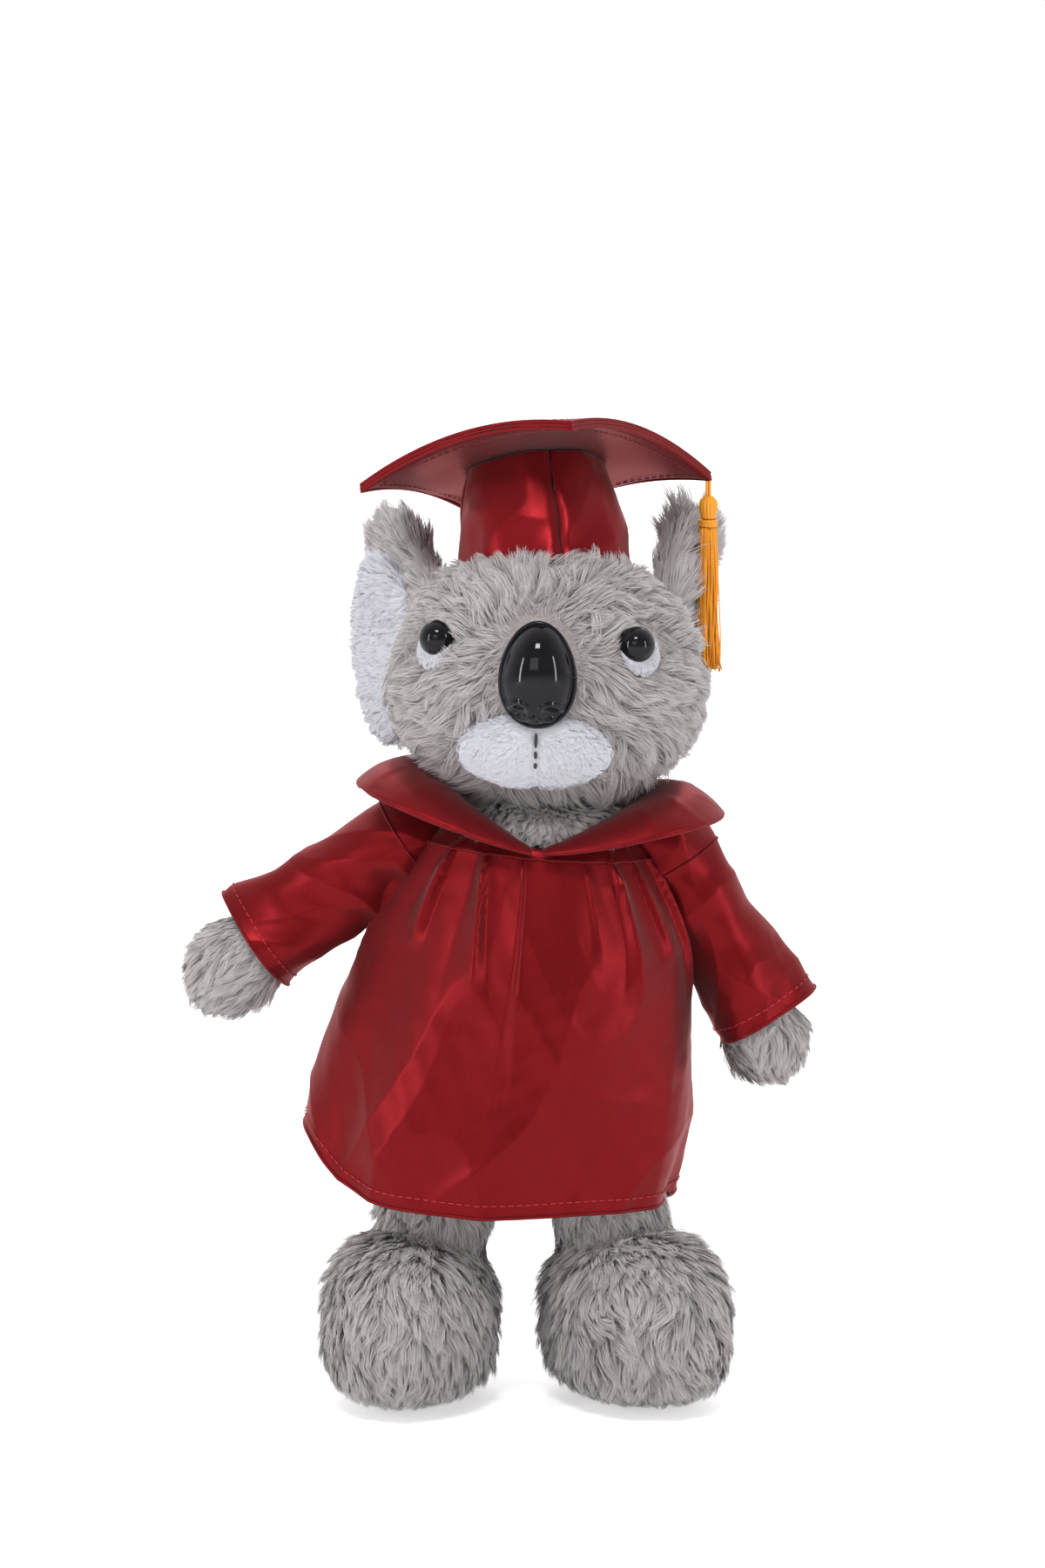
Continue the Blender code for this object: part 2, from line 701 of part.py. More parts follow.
def leg_form(name, grow, shift, count=14):
    """The leg's outline from its hip ball down to the ankle."""
    rings = []
    top = LEG_BALL_RADIUS + grow
    bottom = LEG_BOTTOM - HIP_HEIGHT - grow
    for station, share in zip(LEG_STATION_SHARES, LEG_RADIUS_SHARES):
        height = top + (bottom - top) * station
        radius = max(LEG_BALL_RADIUS * share + grow, LEG_BALL_RADIUS * LEG_RADIUS_SHARES[0] / 2)
        slant = max(0.0, (station - LEG_STATION_SHARES[3]) / (1.0 - LEG_STATION_SHARES[3]))
        rings.append(ring((shift * slant, -LEG_FORWARD * slant, height), radius, radius, count))
    return lofted(name, rings)


def foot_form(name, grow, centre, yaw):
    """The big padded foot, round above and pressed broad at its sole."""
    half_x = FOOT_WIDTH / 2 + grow
    half_y = FOOT_LENGTH / 2 + grow
    half_z = FOOT_HEIGHT / 2 + grow
    made = ball(name, 1.0, 16, 10)
    for point in made.vertices:
        power = SOLE_POWER if point.co.z < 0.0 else FOOT_POWER
        level = abs(point.co.z)
        reach = point.co.xy.length
        if reach > 0.0:
            point.co.xy *= reach ** (2.0 / power) / reach
        point.co.z = math.copysign(level ** (2.0 / power), point.co.z)
    made.transform(Matrix.Diagonal((half_x, half_y, half_z, 1.0)))
    made.transform(Matrix.Translation(centre) @ Matrix.Rotation(math.radians(yaw), 4, "Z"))
    return made


def build_leg(side, root, torso_pieces):
    """One leg with its foot, about an empty at its hip."""
    sign = SIDES[side]
    yaw = FOOT_LEFT_YAW if side == "left" else FOOT_RIGHT_YAW
    frame = empty(f"leg_{side}_frame", (sign * HIP_SPREAD, 0, HIP_HEIGHT), (0, 0, 0), root)
    shift = sign * (FOOT_SPREAD - HIP_SPREAD)
    foot_centre = (shift, -FOOT_FORWARD, FOOT_HEIGHT / 2 - SOLE_CUT - HIP_HEIGHT)
    name = f"leg_skin_{side}"
    skin = add_piece(name, leg_form(name, 0.0, shift), fur, frame)
    filling_name = f"leg_stuffing_{side}"
    filling = add_piece(filling_name, leg_form(filling_name, -SKIN - SEAM_GAP, shift), stuffing, frame)

    def foot_guide(label, grow):
        mesh = foot_form(label, grow, foot_centre, yaw)
        return guide(add_piece(f"foot_{side}_{label}_guide", mesh, None, frame))

    boolean(skin, foot_guide("outside", 0.0), "UNION")
    hollow = guide(add_piece(f"leg_{side}_hollow_guide", leg_form("hollow", -SKIN, shift), None, frame))
    boolean(hollow, foot_guide("hollow", -SKIN), "UNION")
    boolean(skin, hollow)
    boolean(filling, foot_guide("filling", -SKIN - SEAM_GAP), "UNION")
    opening_mesh = rod("opening", LEG_OPENING_RADIUS, (0, 0, 0), (0, 0, LEG_BALL_RADIUS + CUT_OVERRUN))
    opening = guide(add_piece(f"leg_{side}_opening_guide", opening_mesh, None, frame))
    boolean(skin, opening)
    low = (-GUIDE_SIZE, -GUIDE_SIZE, -HIP_HEIGHT - GUIDE_SIZE)
    high = (GUIDE_SIZE, GUIDE_SIZE, -HIP_HEIGHT)
    sole = guide(add_piece(f"sole_{side}_guide", block("sole", low, high), None, frame))
    boolean(skin, sole)
    socket_mesh = room_ball("socket", LEG_BALL_RADIUS, SOCKET_GAP)
    socket = guide(add_piece(f"leg_{side}_socket_guide", socket_mesh, None, frame))
    for piece in torso_pieces:
        boolean(piece, socket)
    return frame


def build_torso(root):
    """The body's skin and its stuffing, which swells up into the head at the neck."""
    skin = add_piece("torso_skin", torso_form("torso_skin", 0.0), fur, root)
    hollow = guide(add_piece("torso_hollow_guide", torso_form("hollow", -SKIN), None, root))
    filling = add_piece("torso_stuffing", torso_form("torso_stuffing", -SKIN - SEAM_GAP), stuffing, root)
    place = Matrix.Translation((NECK_X, 0, NECK_HEIGHT))
    neck = guide(add_piece("neck_ball_guide", ball("neck", NECK_BALL_RADIUS), None, root))
    neck.data.transform(place)
    opening_mesh = room_ball("opening", NECK_BALL_RADIUS, SEAM_GAP)
    opening = guide(add_piece("neck_opening_guide", opening_mesh, None, root))
    opening.data.transform(place)
    boolean(skin, hollow)
    boolean(skin, opening)
    boolean(filling, neck, "UNION")
    return skin, filling


# Gown


def sleeve_rings(grow, count=16):
    """The sleeve's rings along -Z, from a dome over the shoulder to the cuff."""
    rings = []
    radius = SLEEVE_RADIUS + grow
    for angle in SLEEVE_DOME_ANGLES:
        turn = math.radians(angle)
        height = radius * math.cos(turn)
        wide = radius * math.sin(turn)
        rings.append(ring((0, 0, height), wide, wide, count))
    for share, width in zip(SLEEVE_STATION_SHARES, SLEEVE_WIDTH_SHARES):
        wide = SLEEVE_RADIUS * width + grow
        rings.append(ring((0, 0, -SLEEVE_LENGTH * share), wide, wide, count))
    return rings


def build_sleeve(side, arm, gown_body):
    """One sleeve, cut where it is sewn to the gown."""
    name = f"sleeve_{side}"
    mesh = tube_between(name, sleeve_rings(0.0), sleeve_rings(-CLOTH))
    sleeve = add_piece(name, mesh, satin, arm)
    boolean(sleeve, gown_body)
    room = lofted("armhole", sleeve_rings(SEAM_GAP))
    return guide(add_piece(f"armhole_{side}_guide", room, None, arm))


def seam_plane(root):
    """A level guide block, rolled like the gown, whose foot is at the yoke seam."""
    frame = empty("gown_frame", (SHOULDER_X, 0, YOKE_SEAM_HEIGHT), (0, GOWN_ROLL, 0), root)
    low = (-GUIDE_SIZE, -GUIDE_SIZE, 0.0)
    high = (GUIDE_SIZE, GUIDE_SIZE, GUIDE_SIZE)
    return guide(add_piece("yoke_seam_guide", block("seam", low, high), None, frame))


def build_yoke(root, above_seam, armholes):
    """Front and back yoke pieces over the shoulders."""
    outside = GOWN_EASE + CLOTH
    inside = guide(add_piece("yoke_inside_guide", torso_form("inside", GOWN_EASE), None, root))
    low = (NECK_X, 0, TORSO_BOTTOM)
    high = (NECK_X, 0, TORSO_TOP + GUIDE_SIZE)
    neck = guide(add_piece("yoke_neck_guide", rod("neck", YOKE_NECK_RADIUS, low, high, 24), None, root))
    side = NECKLINE_WIDTH / math.sqrt(2.0)
    notch_mesh = block("neckline", (0, -GUIDE_SIZE, 0), (side, 0, side))
    notch_mesh.transform(Matrix.Rotation(math.radians(-45.0), 4, "Y"))
    notch_mesh.transform(Matrix.Translation((NECK_X, 0, NECKLINE_TIP)))
    neckline = guide(add_piece("neckline_guide", notch_mesh, None, root))
    half = BACK_SLIT / 2
    middle = SHOULDER_X
    spans = {
        "gown_yoke_front": ((-GUIDE_SIZE, -GUIDE_SIZE), (GUIDE_SIZE, -SEAM_GAP / 2)),
        "gown_yoke_back_left": ((middle + half, SEAM_GAP / 2), (GUIDE_SIZE, GUIDE_SIZE)),
        "gown_yoke_back_right": ((-GUIDE_SIZE, SEAM_GAP / 2), (middle - half, GUIDE_SIZE)),
    }
    for name, (low, high) in spans.items():
        piece = add_piece(name, torso_form(name, outside), satin, root)
        keep_mesh = block("keep", (*low, TORSO_BOTTOM), (*high, TORSO_TOP + GUIDE_SIZE))
        keep = guide(add_piece(f"{name}_guide", keep_mesh, None, root))
        boolean(piece, keep, "INTERSECT")
        boolean(piece, above_seam, "INTERSECT")
        boolean(piece, inside)
        boolean(piece, neck)
        for armhole in armholes:
            boolean(piece, armhole)
        if name == "gown_yoke_front":
            boolean(piece, neckline)


def build_closure(root):
    """Hook and loop tapes that close the back of the yoke."""
    base = TORSO_TOP - TAPE_HEIGHT * 2
    for name, layer in (("closure_hook_tape", 0), ("closure_loop_tape", 1)):
        outer = GOWN_EASE - SEAM_GAP - layer * (TAPE_THICKNESS + SEAM_GAP)
        piece = add_piece(name, torso_form(name, outer), red_tape, root)
        inner_mesh = torso_form("inner", outer - TAPE_THICKNESS)
        inner = guide(add_piece(f"{name}_inner_guide", inner_mesh, None, root))
        low = (SHOULDER_X - TAPE_WIDTH / 2, 0.0, base)
        high = (SHOULDER_X + TAPE_WIDTH / 2, TORSO_DEPTH, base + TAPE_HEIGHT)
        keep = guide(add_piece(f"{name}_keep_guide", block("keep", low, high), None, root))
        boolean(piece, keep, "INTERSECT")
        boolean(piece, inner)


def skirt_rings(grow):
    """Rings of the gathered skirt from the yoke seam to the hem."""
    rings = []
    slope = math.tan(math.radians(GOWN_ROLL))
    table = zip(SKIRT_STATION_SHARES, SKIRT_WIDTH_SHARES, SKIRT_DEPTH_SHARES, SKIRT_SHIFT_SHARES)
    for fall, width, depth, shift in table:
        points = []
        middle = SHOULDER_X + SKIRT_SHIFT * shift
        fold_depth = SKIRT_FOLD_DEPTH * (1.0 - (1.0 - SKIRT_FOLD_TOP_SHARE) * (1.0 - fall))
        for step in range(SKIRT_SEGMENTS):
            angle = math.tau * step / SKIRT_SEGMENTS
            fold = fold_depth * math.cos(SKIRT_FOLDS * angle)
            x = (SKIRT_WIDTH / 2 * width + fold + grow) * math.cos(angle)
            y = (SKIRT_DEPTH / 2 * depth + fold + grow) * math.sin(angle)
            top = YOKE_SEAM_HEIGHT - SEAM_GAP - (middle + x - SHOULDER_X) * slope
            hem = SKIRT_HEM - SKIRT_HEM_SIDE_RISE * math.cos(angle)
            hem += SKIRT_HEM_DIP * math.sin(angle)
            points.append(Vector((middle + x, y, top + (hem - top) * fall)))
        rings.append(points)
    return rings


def build_skirt(root, armholes):
    """The long gathered panel of the gown."""
    mesh = tube_between("gown_skirt", skirt_rings(0.0), skirt_rings(-CLOTH))
    skirt = add_piece("gown_skirt", mesh, satin, root)
    for armhole in armholes:
        boolean(skirt, armhole)
    return skirt


def collar_point(angle, reach, rise, lift):
    """A point of the collar at an angle from the front."""
    turn = math.radians(angle)
    x = COLLAR_REACH * reach * math.sin(turn)
    y = -COLLAR_REACH * reach * math.cos(turn)
    return Vector((x, y, COLLAR_HEIGHT * rise + lift))


def build_collar(root):
    """The wide collar, which meets in a V at the front and arches over the shoulders."""
    place = (SHOULDER_X, 0, COLLAR_BASE)
    frame = empty("collar_frame", place, (0, GOWN_ROLL, 0), root)
    rings = []
    steps = 24
    first = COLLAR_ANGLES[0]
    for step in range(steps + 1):
        angle = first + (360.0 - 2 * first) * step / steps
        table = angle if angle <= 180.0 else 360.0 - angle
        inner = share_at(table, COLLAR_ANGLES, COLLAR_INNER_SHARES)
        outer = share_at(table, COLLAR_ANGLES, COLLAR_OUTER_SHARES)
        low = share_at(table, COLLAR_ANGLES, COLLAR_INNER_RISE_SHARES)
        arch = share_at(table, COLLAR_ANGLES, COLLAR_ARCH_RISE_SHARES)
        edge = share_at(table, COLLAR_ANGLES, COLLAR_OUTER_RISE_SHARES)
        half = CLOTH
        points = []
        for share, rise in ((inner, low), ((inner + outer) / 2, arch), (outer, edge)):
            points.append(collar_point(angle, share, rise, half))
        for share, rise in ((outer, edge), ((inner + outer) / 2, arch), (inner, low)):
            points.append(collar_point(angle, share, rise, -half))
        rings.append(points)
    add_piece("collar", lofted("collar", rings), satin, frame)


# Cap and tassel


def crown_radius(share):
    """The crown's outer radius at a share of its height."""
    straight = CROWN_RADIUS + (CROWN_TOP_RADIUS - CROWN_RADIUS) * share
    return straight * (1.0 + CROWN_BULGE_SHARE * math.sin(math.pi * max(0.0, min(1.0, share))))


def build_crown(cap, head_outside):
    """Four cloth panels between the head and the board."""
    heights = (-CROWN_SKIRT / CROWN_HEIGHT, *CROWN_STATION_SHARES)
    for panel in range(CROWN_PANELS):
        name = f"crown_panel_{panel + 1}"
        start = math.tau * panel / CROWN_PANELS - math.pi / 2
        rings = []
        for step in range(CROWN_STEPS + 1):
            share = step / CROWN_STEPS
            outer = []
            inner = []
            for height in heights:
                radius = crown_radius(height)
                margin = SEAM_GAP / 2 / radius
                angle = start + margin + (math.tau / CROWN_PANELS - 2 * margin) * share
                across = radius / math.sqrt(2.0)
                level = height * (CROWN_HEIGHT + board_height(across, across))
                way = Vector((math.cos(angle), math.sin(angle), 0.0))
                outer.append(way * radius + Vector((0, 0, level)))
                inner.append(way * (radius - CLOTH) + Vector((0, 0, level)))
            rings.append(outer + list(reversed(inner)))
        panel_piece = add_piece(name, lofted(name, rings), satin, cap)
        boolean(panel_piece, head_outside)


def board_height(x, y):
    """How far the board stands above its centre: its edges lift and its corners droop."""
    across = (x / (BOARD_SIDE / 2)) ** 2
    along = (y / (BOARD_SIDE / 2)) ** 2
    return BOARD_LIFT * (across + along) / 2 - BOARD_DROOP * across * along


def board_plate(name, side, bottom, top, rim=0.0):
    """A square plate on the board's drooping surface, whose rim may stand up."""
    half = side / 2
    edge = [half - BOARD_RIM] * (2 if rim else 1) if side == BOARD_SIDE else []
    inner = [BOARD_SIDE * (step / BOARD_CELLS - 1 / 2) for step in range(1, BOARD_CELLS)]
    places = [-half] + [-place for place in edge] + inner + edge + [half]
    shape = bmesh.new()
    last = len(places) - 1

    def lift(row, column):
        at_edge = min(row, column, last - row, last - column) <= 1
        return rim if rim and at_edge else 0.0

    grids = []
    for level, raised in ((bottom, False), (top, True)):
        grid = []
        for row, y in enumerate(places):
            line = []
            for column, x in enumerate(places):
                height = level + board_height(x, y)
                if raised:
                    height += lift(row, column)
                line.append(shape.verts.new((x, y, height)))
            grid.append(line)
        grids.append(grid)
    lower, upper = grids
    for row in range(last):
        for column in range(last):
            cell = (row, column), (row, column + 1), (row + 1, column + 1), (row + 1, column)
            for corners in (cell[:3], cell[2:] + cell[:1]):
                shape.faces.new([upper[r][c] for r, c in corners])
                shape.faces.new([lower[r][c] for r, c in reversed(corners)])
    loop = [(0, c) for c in range(last)] + [(r, last) for r in range(last)]
    loop += [(last, c) for c in range(last, 0, -1)] + [(r, 0) for r in range(last, 0, -1)]
    for here, there in zip(loop, loop[1:] + loop[:1]):
        low_here = lower[here[0]][here[1]]
        low_there = lower[there[0]][there[1]]
        high_here = upper[here[0]][here[1]]
        high_there = upper[there[0]][there[1]]
        shape.faces.new((low_here, low_there, high_there, high_here))
    return mesh_from_bmesh(name, shape)


def build_board(cap):
    """The square top: two cloth covers over a card stiffener."""
    turn = Matrix.Rotation(math.radians(45.0), 4, "Z")
    base = CROWN_HEIGHT + BOARD_GAP
    card_thickness = BOARD_THICKNESS - 2 * CLOTH - 2 * SEAM_GAP
    card_base = base + CLOTH + SEAM_GAP
    card_side = BOARD_SIDE - 2 * (BOARD_RIM + SEAM_GAP)
    cover_base = card_base + card_thickness + SEAM_GAP
    rim = cover_base - SEAM_GAP - base - CLOTH
    plates = (
        ("board_cover_bottom", BOARD_SIDE, base, base + CLOTH, rim, satin),
        ("board_stiffener", card_side, card_base, card_base + card_thickness, 0.0, card),
        ("board_cover_top", BOARD_SIDE, cover_base, cover_base + CLOTH, 0.0, satin),
    )
    for name, side, bottom, top, edge, look in plates:
        mesh = board_plate(name, side, bottom, top, edge)
        mesh.transform(turn)
        add_piece(name, mesh, look, cap)
    return base


def yarn_piece(name, top, height, radius, stations, widths, frame):
    """A round piece of the tassel, and the level just below it."""
    rings = []
    for station, share in zip(stations, widths):
        wide = radius * share
        rings.append(ring((0, 0, top - height * station), wide, wide, TASSEL_POINTS))
    add_piece(name, lofted(name, rings), yellow_yarn, frame)
    return top - height - SEAM_GAP


def build_strands(top, frame):
    """The fluted fall of strands below the tassel's binding."""
    rings = []
    count = TASSEL_FLUTES * 2
    for share in TASSEL_STATION_SHARES:
        spread = (TASSEL_BOTTOM_RADIUS - TASSEL_TOP_RADIUS) * math.sqrt(share)
        width = TASSEL_TOP_RADIUS + spread
        points = []
        for step in range(count):
            angle = math.tau * step / count
            radius = width if step % 2 else width * TASSEL_FLUTE_SHARE
            level = top - TASSEL_LENGTH * share
            points.append(Vector((radius * math.cos(angle), radius * math.sin(angle), level)))
        rings.append(points)
    add_piece("tassel_skirt", lofted("tassel_skirt", rings), yellow_yarn, frame)


def build_tassel(cap, base):
    """The yarn tassel, which hangs straight down from the board's left corner."""
    corner = BOARD_SIDE / math.sqrt(2.0) - TASSEL_INSET
    across = corner / math.sqrt(2.0)
    drop = board_height(across, across)
    top = base + drop - SEAM_GAP - TASSEL_THREAD / 2
    frame = empty("tassel_frame", (corner, 0, top), (0, 0, 0), cap)
    hang = cap.matrix_basis.to_3x3().inverted().to_4x4()
    turn_home = cap.parent.matrix_basis.to_3x3().inverted().to_4x4()
    frame.rotation_euler = (hang @ turn_home @ Matrix.Rotation(math.radians(CAP_YAW), 4, "Z")).to_euler()
    half = TASSEL_THREAD / 2
    loop_rings = []
    for angle in TASSEL_LOOP_ANGLES:
        turn = math.radians(angle)
        wide = half * math.sin(turn)
        loop_rings.append(ring((0, 0, half * math.cos(turn)), wide, wide, TASSEL_POINTS))
    loop_rings.append(ring((0, 0, -TASSEL_LOOP_LENGTH), half, half, TASSEL_POINTS))
    add_piece("tassel_loop", lofted("tassel_loop", loop_rings), yellow_yarn, frame)
    head_top = -TASSEL_LOOP_LENGTH - SEAM_GAP
    head_table = (TASSEL_HEAD_STATION_SHARES, TASSEL_HEAD_WIDTH_SHARES)
    binding_top = yarn_piece(
        "tassel_head", head_top, TASSEL_HEAD_HEIGHT, TASSEL_HEAD_RADIUS, *head_table, frame
    )
    binding_table = (TASSEL_BINDING_STATION_SHARES, TASSEL_BINDING_WIDTH_SHARES)
    strands_top = yarn_piece(
        "tassel_binding", binding_top, TASSEL_BINDING_HEIGHT, TASSEL_BINDING_RADIUS, *binding_table, frame
    )
    build_strands(strands_top, frame)


def build_cap(head, guides):
    """The square cap on the back of the head's crown."""
    place = (CAP_X, CAP_BACK, HEAD_RISE + CAP_RISE)
    cap = empty("cap_frame", place, parent=head)
    tilt = Matrix.Rotation(math.radians(-CAP_TILT), 4, "X")
    roll = Matrix.Rotation(math.radians(CAP_ROLL), 4, "Y")
    yaw = Matrix.Rotation(math.radians(CAP_YAW), 4, "Z")
    cap.rotation_euler = (tilt @ roll @ yaw).to_euler()
    build_crown(cap, guides["head_outside"])
    base = build_board(cap)
    build_tassel(cap, base)


def centre_on_origin(root):
    """Slide the whole toy so that its bounding box is centred on the origin in plan."""
    bpy.context.view_layer.update()
    graph = bpy.context.evaluated_depsgraph_get()
    low = Vector((math.inf, math.inf, math.inf))
    high = -low
    for item in bpy.data.objects:
        if item.type != "MESH" or item.hide_render:
            continue
        posed = item.evaluated_get(graph)
        for point in posed.data.vertices:
            world = posed.matrix_world @ point.co
            low = Vector(map(min, low, world))
            high = Vector(map(max, high, world))
    root.location.x -= (low.x + high.x) / 2
    root.location.y -= (low.y + high.y) / 2
    bpy.context.view_layer.update()


def main():
    clear_scene()
    root = empty("koala", (0, 0, 0))
    torso_pieces = build_torso(root)
    arms = {side: build_arm(side, root, torso_pieces) for side in SIDES}
    for side in SIDES:
        build_leg(side, root, torso_pieces)
    build_neck_thread(root)
    head, guides = build_head(root)
    build_cap(head, guides)
    above_seam = seam_plane(root)
    gown_body = guide(add_piece("gown_body_guide", torso_form("gown_body", GOWN_EASE), None, root))
    armholes = [build_sleeve(side, arms[side], gown_body) for side in SIDES]
    build_yoke(root, above_seam, armholes)
    build_closure(root)
    build_skirt(root, armholes)
    build_collar(root)
    centre_on_origin(root)


main()
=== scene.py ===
"""Dresses the plush koala: its pile, its satin gown and cap, the tassel and the studio.

Lengths are metres and angles are degrees. The toy stands on Z = 0 and faces -Y, and its
left side is +X. Each piece is made in the toy's own place and then rides on its body.
"""

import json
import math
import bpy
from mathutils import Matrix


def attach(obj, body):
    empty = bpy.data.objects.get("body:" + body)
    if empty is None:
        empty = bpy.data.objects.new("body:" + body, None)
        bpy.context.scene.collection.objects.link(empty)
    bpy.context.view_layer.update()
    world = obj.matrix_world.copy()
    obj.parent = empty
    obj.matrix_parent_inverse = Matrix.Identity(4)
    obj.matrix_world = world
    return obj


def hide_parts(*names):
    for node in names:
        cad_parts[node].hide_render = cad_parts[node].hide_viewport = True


bl_info = {
    "name": "Plush koala in a graduation gown",
    "version": (1, 0, 0),
    "blender": (4, 5, 0),
    "location": "3D View > Sidebar > Koala",
    "description": "Makes the pile, the satin gown, the cap and the studio round the toy",
    "category": "Object",
}

import bmesh
import bpy
import numpy as np
from bpy.props import FloatProperty, FloatVectorProperty, IntProperty, PointerProperty
from mathutils import Matrix, Vector, kdtree

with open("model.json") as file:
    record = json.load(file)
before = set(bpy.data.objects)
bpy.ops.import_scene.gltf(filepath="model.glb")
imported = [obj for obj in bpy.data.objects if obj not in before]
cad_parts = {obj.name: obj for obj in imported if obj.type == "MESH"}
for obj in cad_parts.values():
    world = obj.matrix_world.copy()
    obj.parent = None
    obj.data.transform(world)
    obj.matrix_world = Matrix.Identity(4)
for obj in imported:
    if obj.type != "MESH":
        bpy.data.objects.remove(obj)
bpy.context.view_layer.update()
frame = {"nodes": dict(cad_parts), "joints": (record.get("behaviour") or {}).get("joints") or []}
JOINTS = {joint["name"]: joint for joint in frame["joints"]}
SIDES = {"left": 1, "right": -1}

# Where the toy stands
NECK = Vector(JOINTS["neck_turn"]["pos_m"])
HIPS = {side: Vector(JOINTS[f"hip_{side}"]["pos_m"]) for side in SIDES}
SHOULDERS = {side: Vector(JOINTS[f"shoulder_{side}"]["pos_m"]) for side in SIDES}
MIDDLE = (HIPS["left"] + HIPS["right"]) / 2
GOWN_X = (SHOULDERS["left"].x + SHOULDERS["right"].x) / 2

# Head
HEAD_WIDTH = 0.105
HEAD_DEPTH = 0.092
HEAD_HEIGHT = 0.091
HEAD_RISE = 0.044
HEAD_CHEEK_SHARE = 0.07
HEAD = (
    Matrix.Translation(NECK)
    @ Matrix.Rotation(math.radians(-4.2), 4, "Z")
    @ Matrix.Rotation(math.radians(1.2), 4, "Y")
)
COAT_INSET = 0.0015
CAPPED_PILE_SHARE = 0.25

# Face
NOSE_WIDTH = 0.0250
NOSE_HEIGHT = 0.0350
NOSE_DEPTH = 0.0250
NOSE_RISE = 0.0060
NOSE_LEAN = 2.0
NOSE_TAPER_SHARE = 0.12
NOSTRIL_SPREAD = 0.0056
NOSTRIL_DROP = 0.0122
NOSTRIL_WIDTH = 0.0024
NOSTRIL_HEIGHT = 0.0019
NOSTRIL_DEPTH = 0.0030
MUZZLE_WIDTH = 0.0530
MUZZLE_HEIGHT = 0.0300
MUZZLE_BULGE = 0.0150
MUZZLE_DROP = 0.0190
MUZZLE_SHIFT = -0.0010
MUZZLE_SAG = 0.0010
EYE_DIAMETER = 0.0125
EYE_SPREAD = 0.0330
EYE_RISE = 0.0150
EYE_SHIFT = -0.0015
EYE_SINK = 0.0012
EYE_PATCH_RADIUS = 0.0074
EYE_PATCH_STRETCH = 1.06
EYE_PATCH_OUT = 0.0017
EYE_PATCH_DROP = 0.0019
MOUTH_TOPS = (0.0135, 0.0196, 0.0236)
MOUTH_LENGTHS = (0.0050, 0.0026, 0.0020)
MOUTH_THREAD = 0.0012

# Ears
EAR_HEIGHT = 0.082
EAR_REACH = 0.043
EAR_THICKNESS = 0.0085
EAR_SWEEPS = {"left": 76.0, "right": 42.0}
EAR_LEAN = 3.0
EAR_TAPER_SHARE = 0.20
EAR_PUFFS = {"left": 2.10, "right": 1.30}

# Body and limbs
TORSO_BOTTOM = 0.086
TORSO_TOP = 0.200
TORSO_WIDTH = 0.088
TORSO_DEPTH = 0.078
TORSO_HEIGHT_SHARES = (0.0, 0.05, 0.16, 0.34, 0.54, 0.72, 0.86, 0.95, 1.0)
TORSO_WIDTH_SHARES = (0.60, 0.80, 0.95, 1.0, 0.93, 0.80, 0.66, 0.54, 0.46)
TORSO_DEPTH_SHARES = (0.58, 0.80, 0.96, 1.0, 0.98, 0.88, 0.74, 0.60, 0.50)
CHEST_PLACE = (NECK.x, NECK.y - 0.004, 0.2020)
CHEST_HALVES = (0.0300, 0.0290, 0.0100)
ARM_RADIUS = 0.014
ARM_LENGTH = 0.092
ARM_DROPS = {"left": 63.0, "right": 36.5}
ARM_STATION_SHARES = (0.0, 0.03, 0.09, 0.152, 0.30, 0.50, 0.68, 0.82, 0.92, 0.98, 1.0)
ARM_RADIUS_SHARES = (0.20, 0.60, 0.92, 1.0, 0.93, 0.88, 0.94, 1.04, 0.90, 0.52, 0.16)
LEG_RADIUS = 0.0210
LEG_BOTTOM = 0.024
LEG_FORWARD = 0.0080
LEG_STATION_SHARES = (0.0, 0.05, 0.14, 0.25, 0.42, 0.65, 0.88, 1.0)
LEG_RADIUS_SHARES = (0.20, 0.62, 0.92, 1.0, 0.95, 0.90, 0.95, 0.60)
FOOT_WIDTH = 0.056
FOOT_LENGTH = 0.078
FOOT_HEIGHT = 0.052
FOOT_PUFF = 0.009
FOOT_SPREAD = 0.0390
FOOT_FORWARD = 0.0150
FOOT_YAWS = {"left": 30.0, "right": -10.0}
FOOT_POWER = 2.4
SOLE_POWER = 3.2
FLOOR_GAP = 0.0006

# Gown
GOWN_ROLL = 5.0
SEAM_HEIGHT = 0.1935
SEAM_ROLL = 0.0005
NECKLINE_RADIUS = 0.0260
NECKLINE_HEIGHT = 0.2035
SKIRT_WIDTH = 0.1330
SKIRT_DEPTH = 0.1030
SKIRT_SHIFT = -0.0150
SKIRT_STATION_SHARES = (0.0, 0.10, 0.26, 0.48, 0.74, 1.0)
SKIRT_WIDTH_SHARES = (0.63, 0.71, 0.83, 0.93, 0.99, 1.0)
SKIRT_DEPTH_SHARES = (0.68, 0.77, 0.88, 0.95, 0.98, 1.0)
SKIRT_SHIFT_SHARES = (0.0, 0.02, 0.11, 0.38, 0.75, 1.0)
HEM_ANGLES = (-180, -135, -105, -85, -72, -58, -42, -20, 0, 30, 60, 90, 120, 150, 180)
HEM_HEIGHTS = (
    0.0850, 0.0905, 0.0960, 0.0965, 0.0930, 0.0835, 0.0765, 0.0738,
    0.0726, 0.0720, 0.0712, 0.0700, 0.0735, 0.0800, 0.0850,
)
SLEEVE_RADIUS = 0.0160
SLEEVE_LENGTHS = {"left": 0.0725, "right": 0.0655}
SLEEVE_TURNS = {"left": 3.0, "right": 1.8}
ARMHOLE_SHARES = {"left": 0.14, "right": 0.04}
SLEEVE_STATION_SHARES = (0.12, 0.25, 0.40, 0.55, 0.70, 0.85, 1.0)
SLEEVE_WIDTH_SHARES = (1.06, 1.05, 1.02, 1.01, 1.03, 1.07, 1.11)
COLLAR_REACH = 0.063
COLLAR_HEIGHT = 0.0160
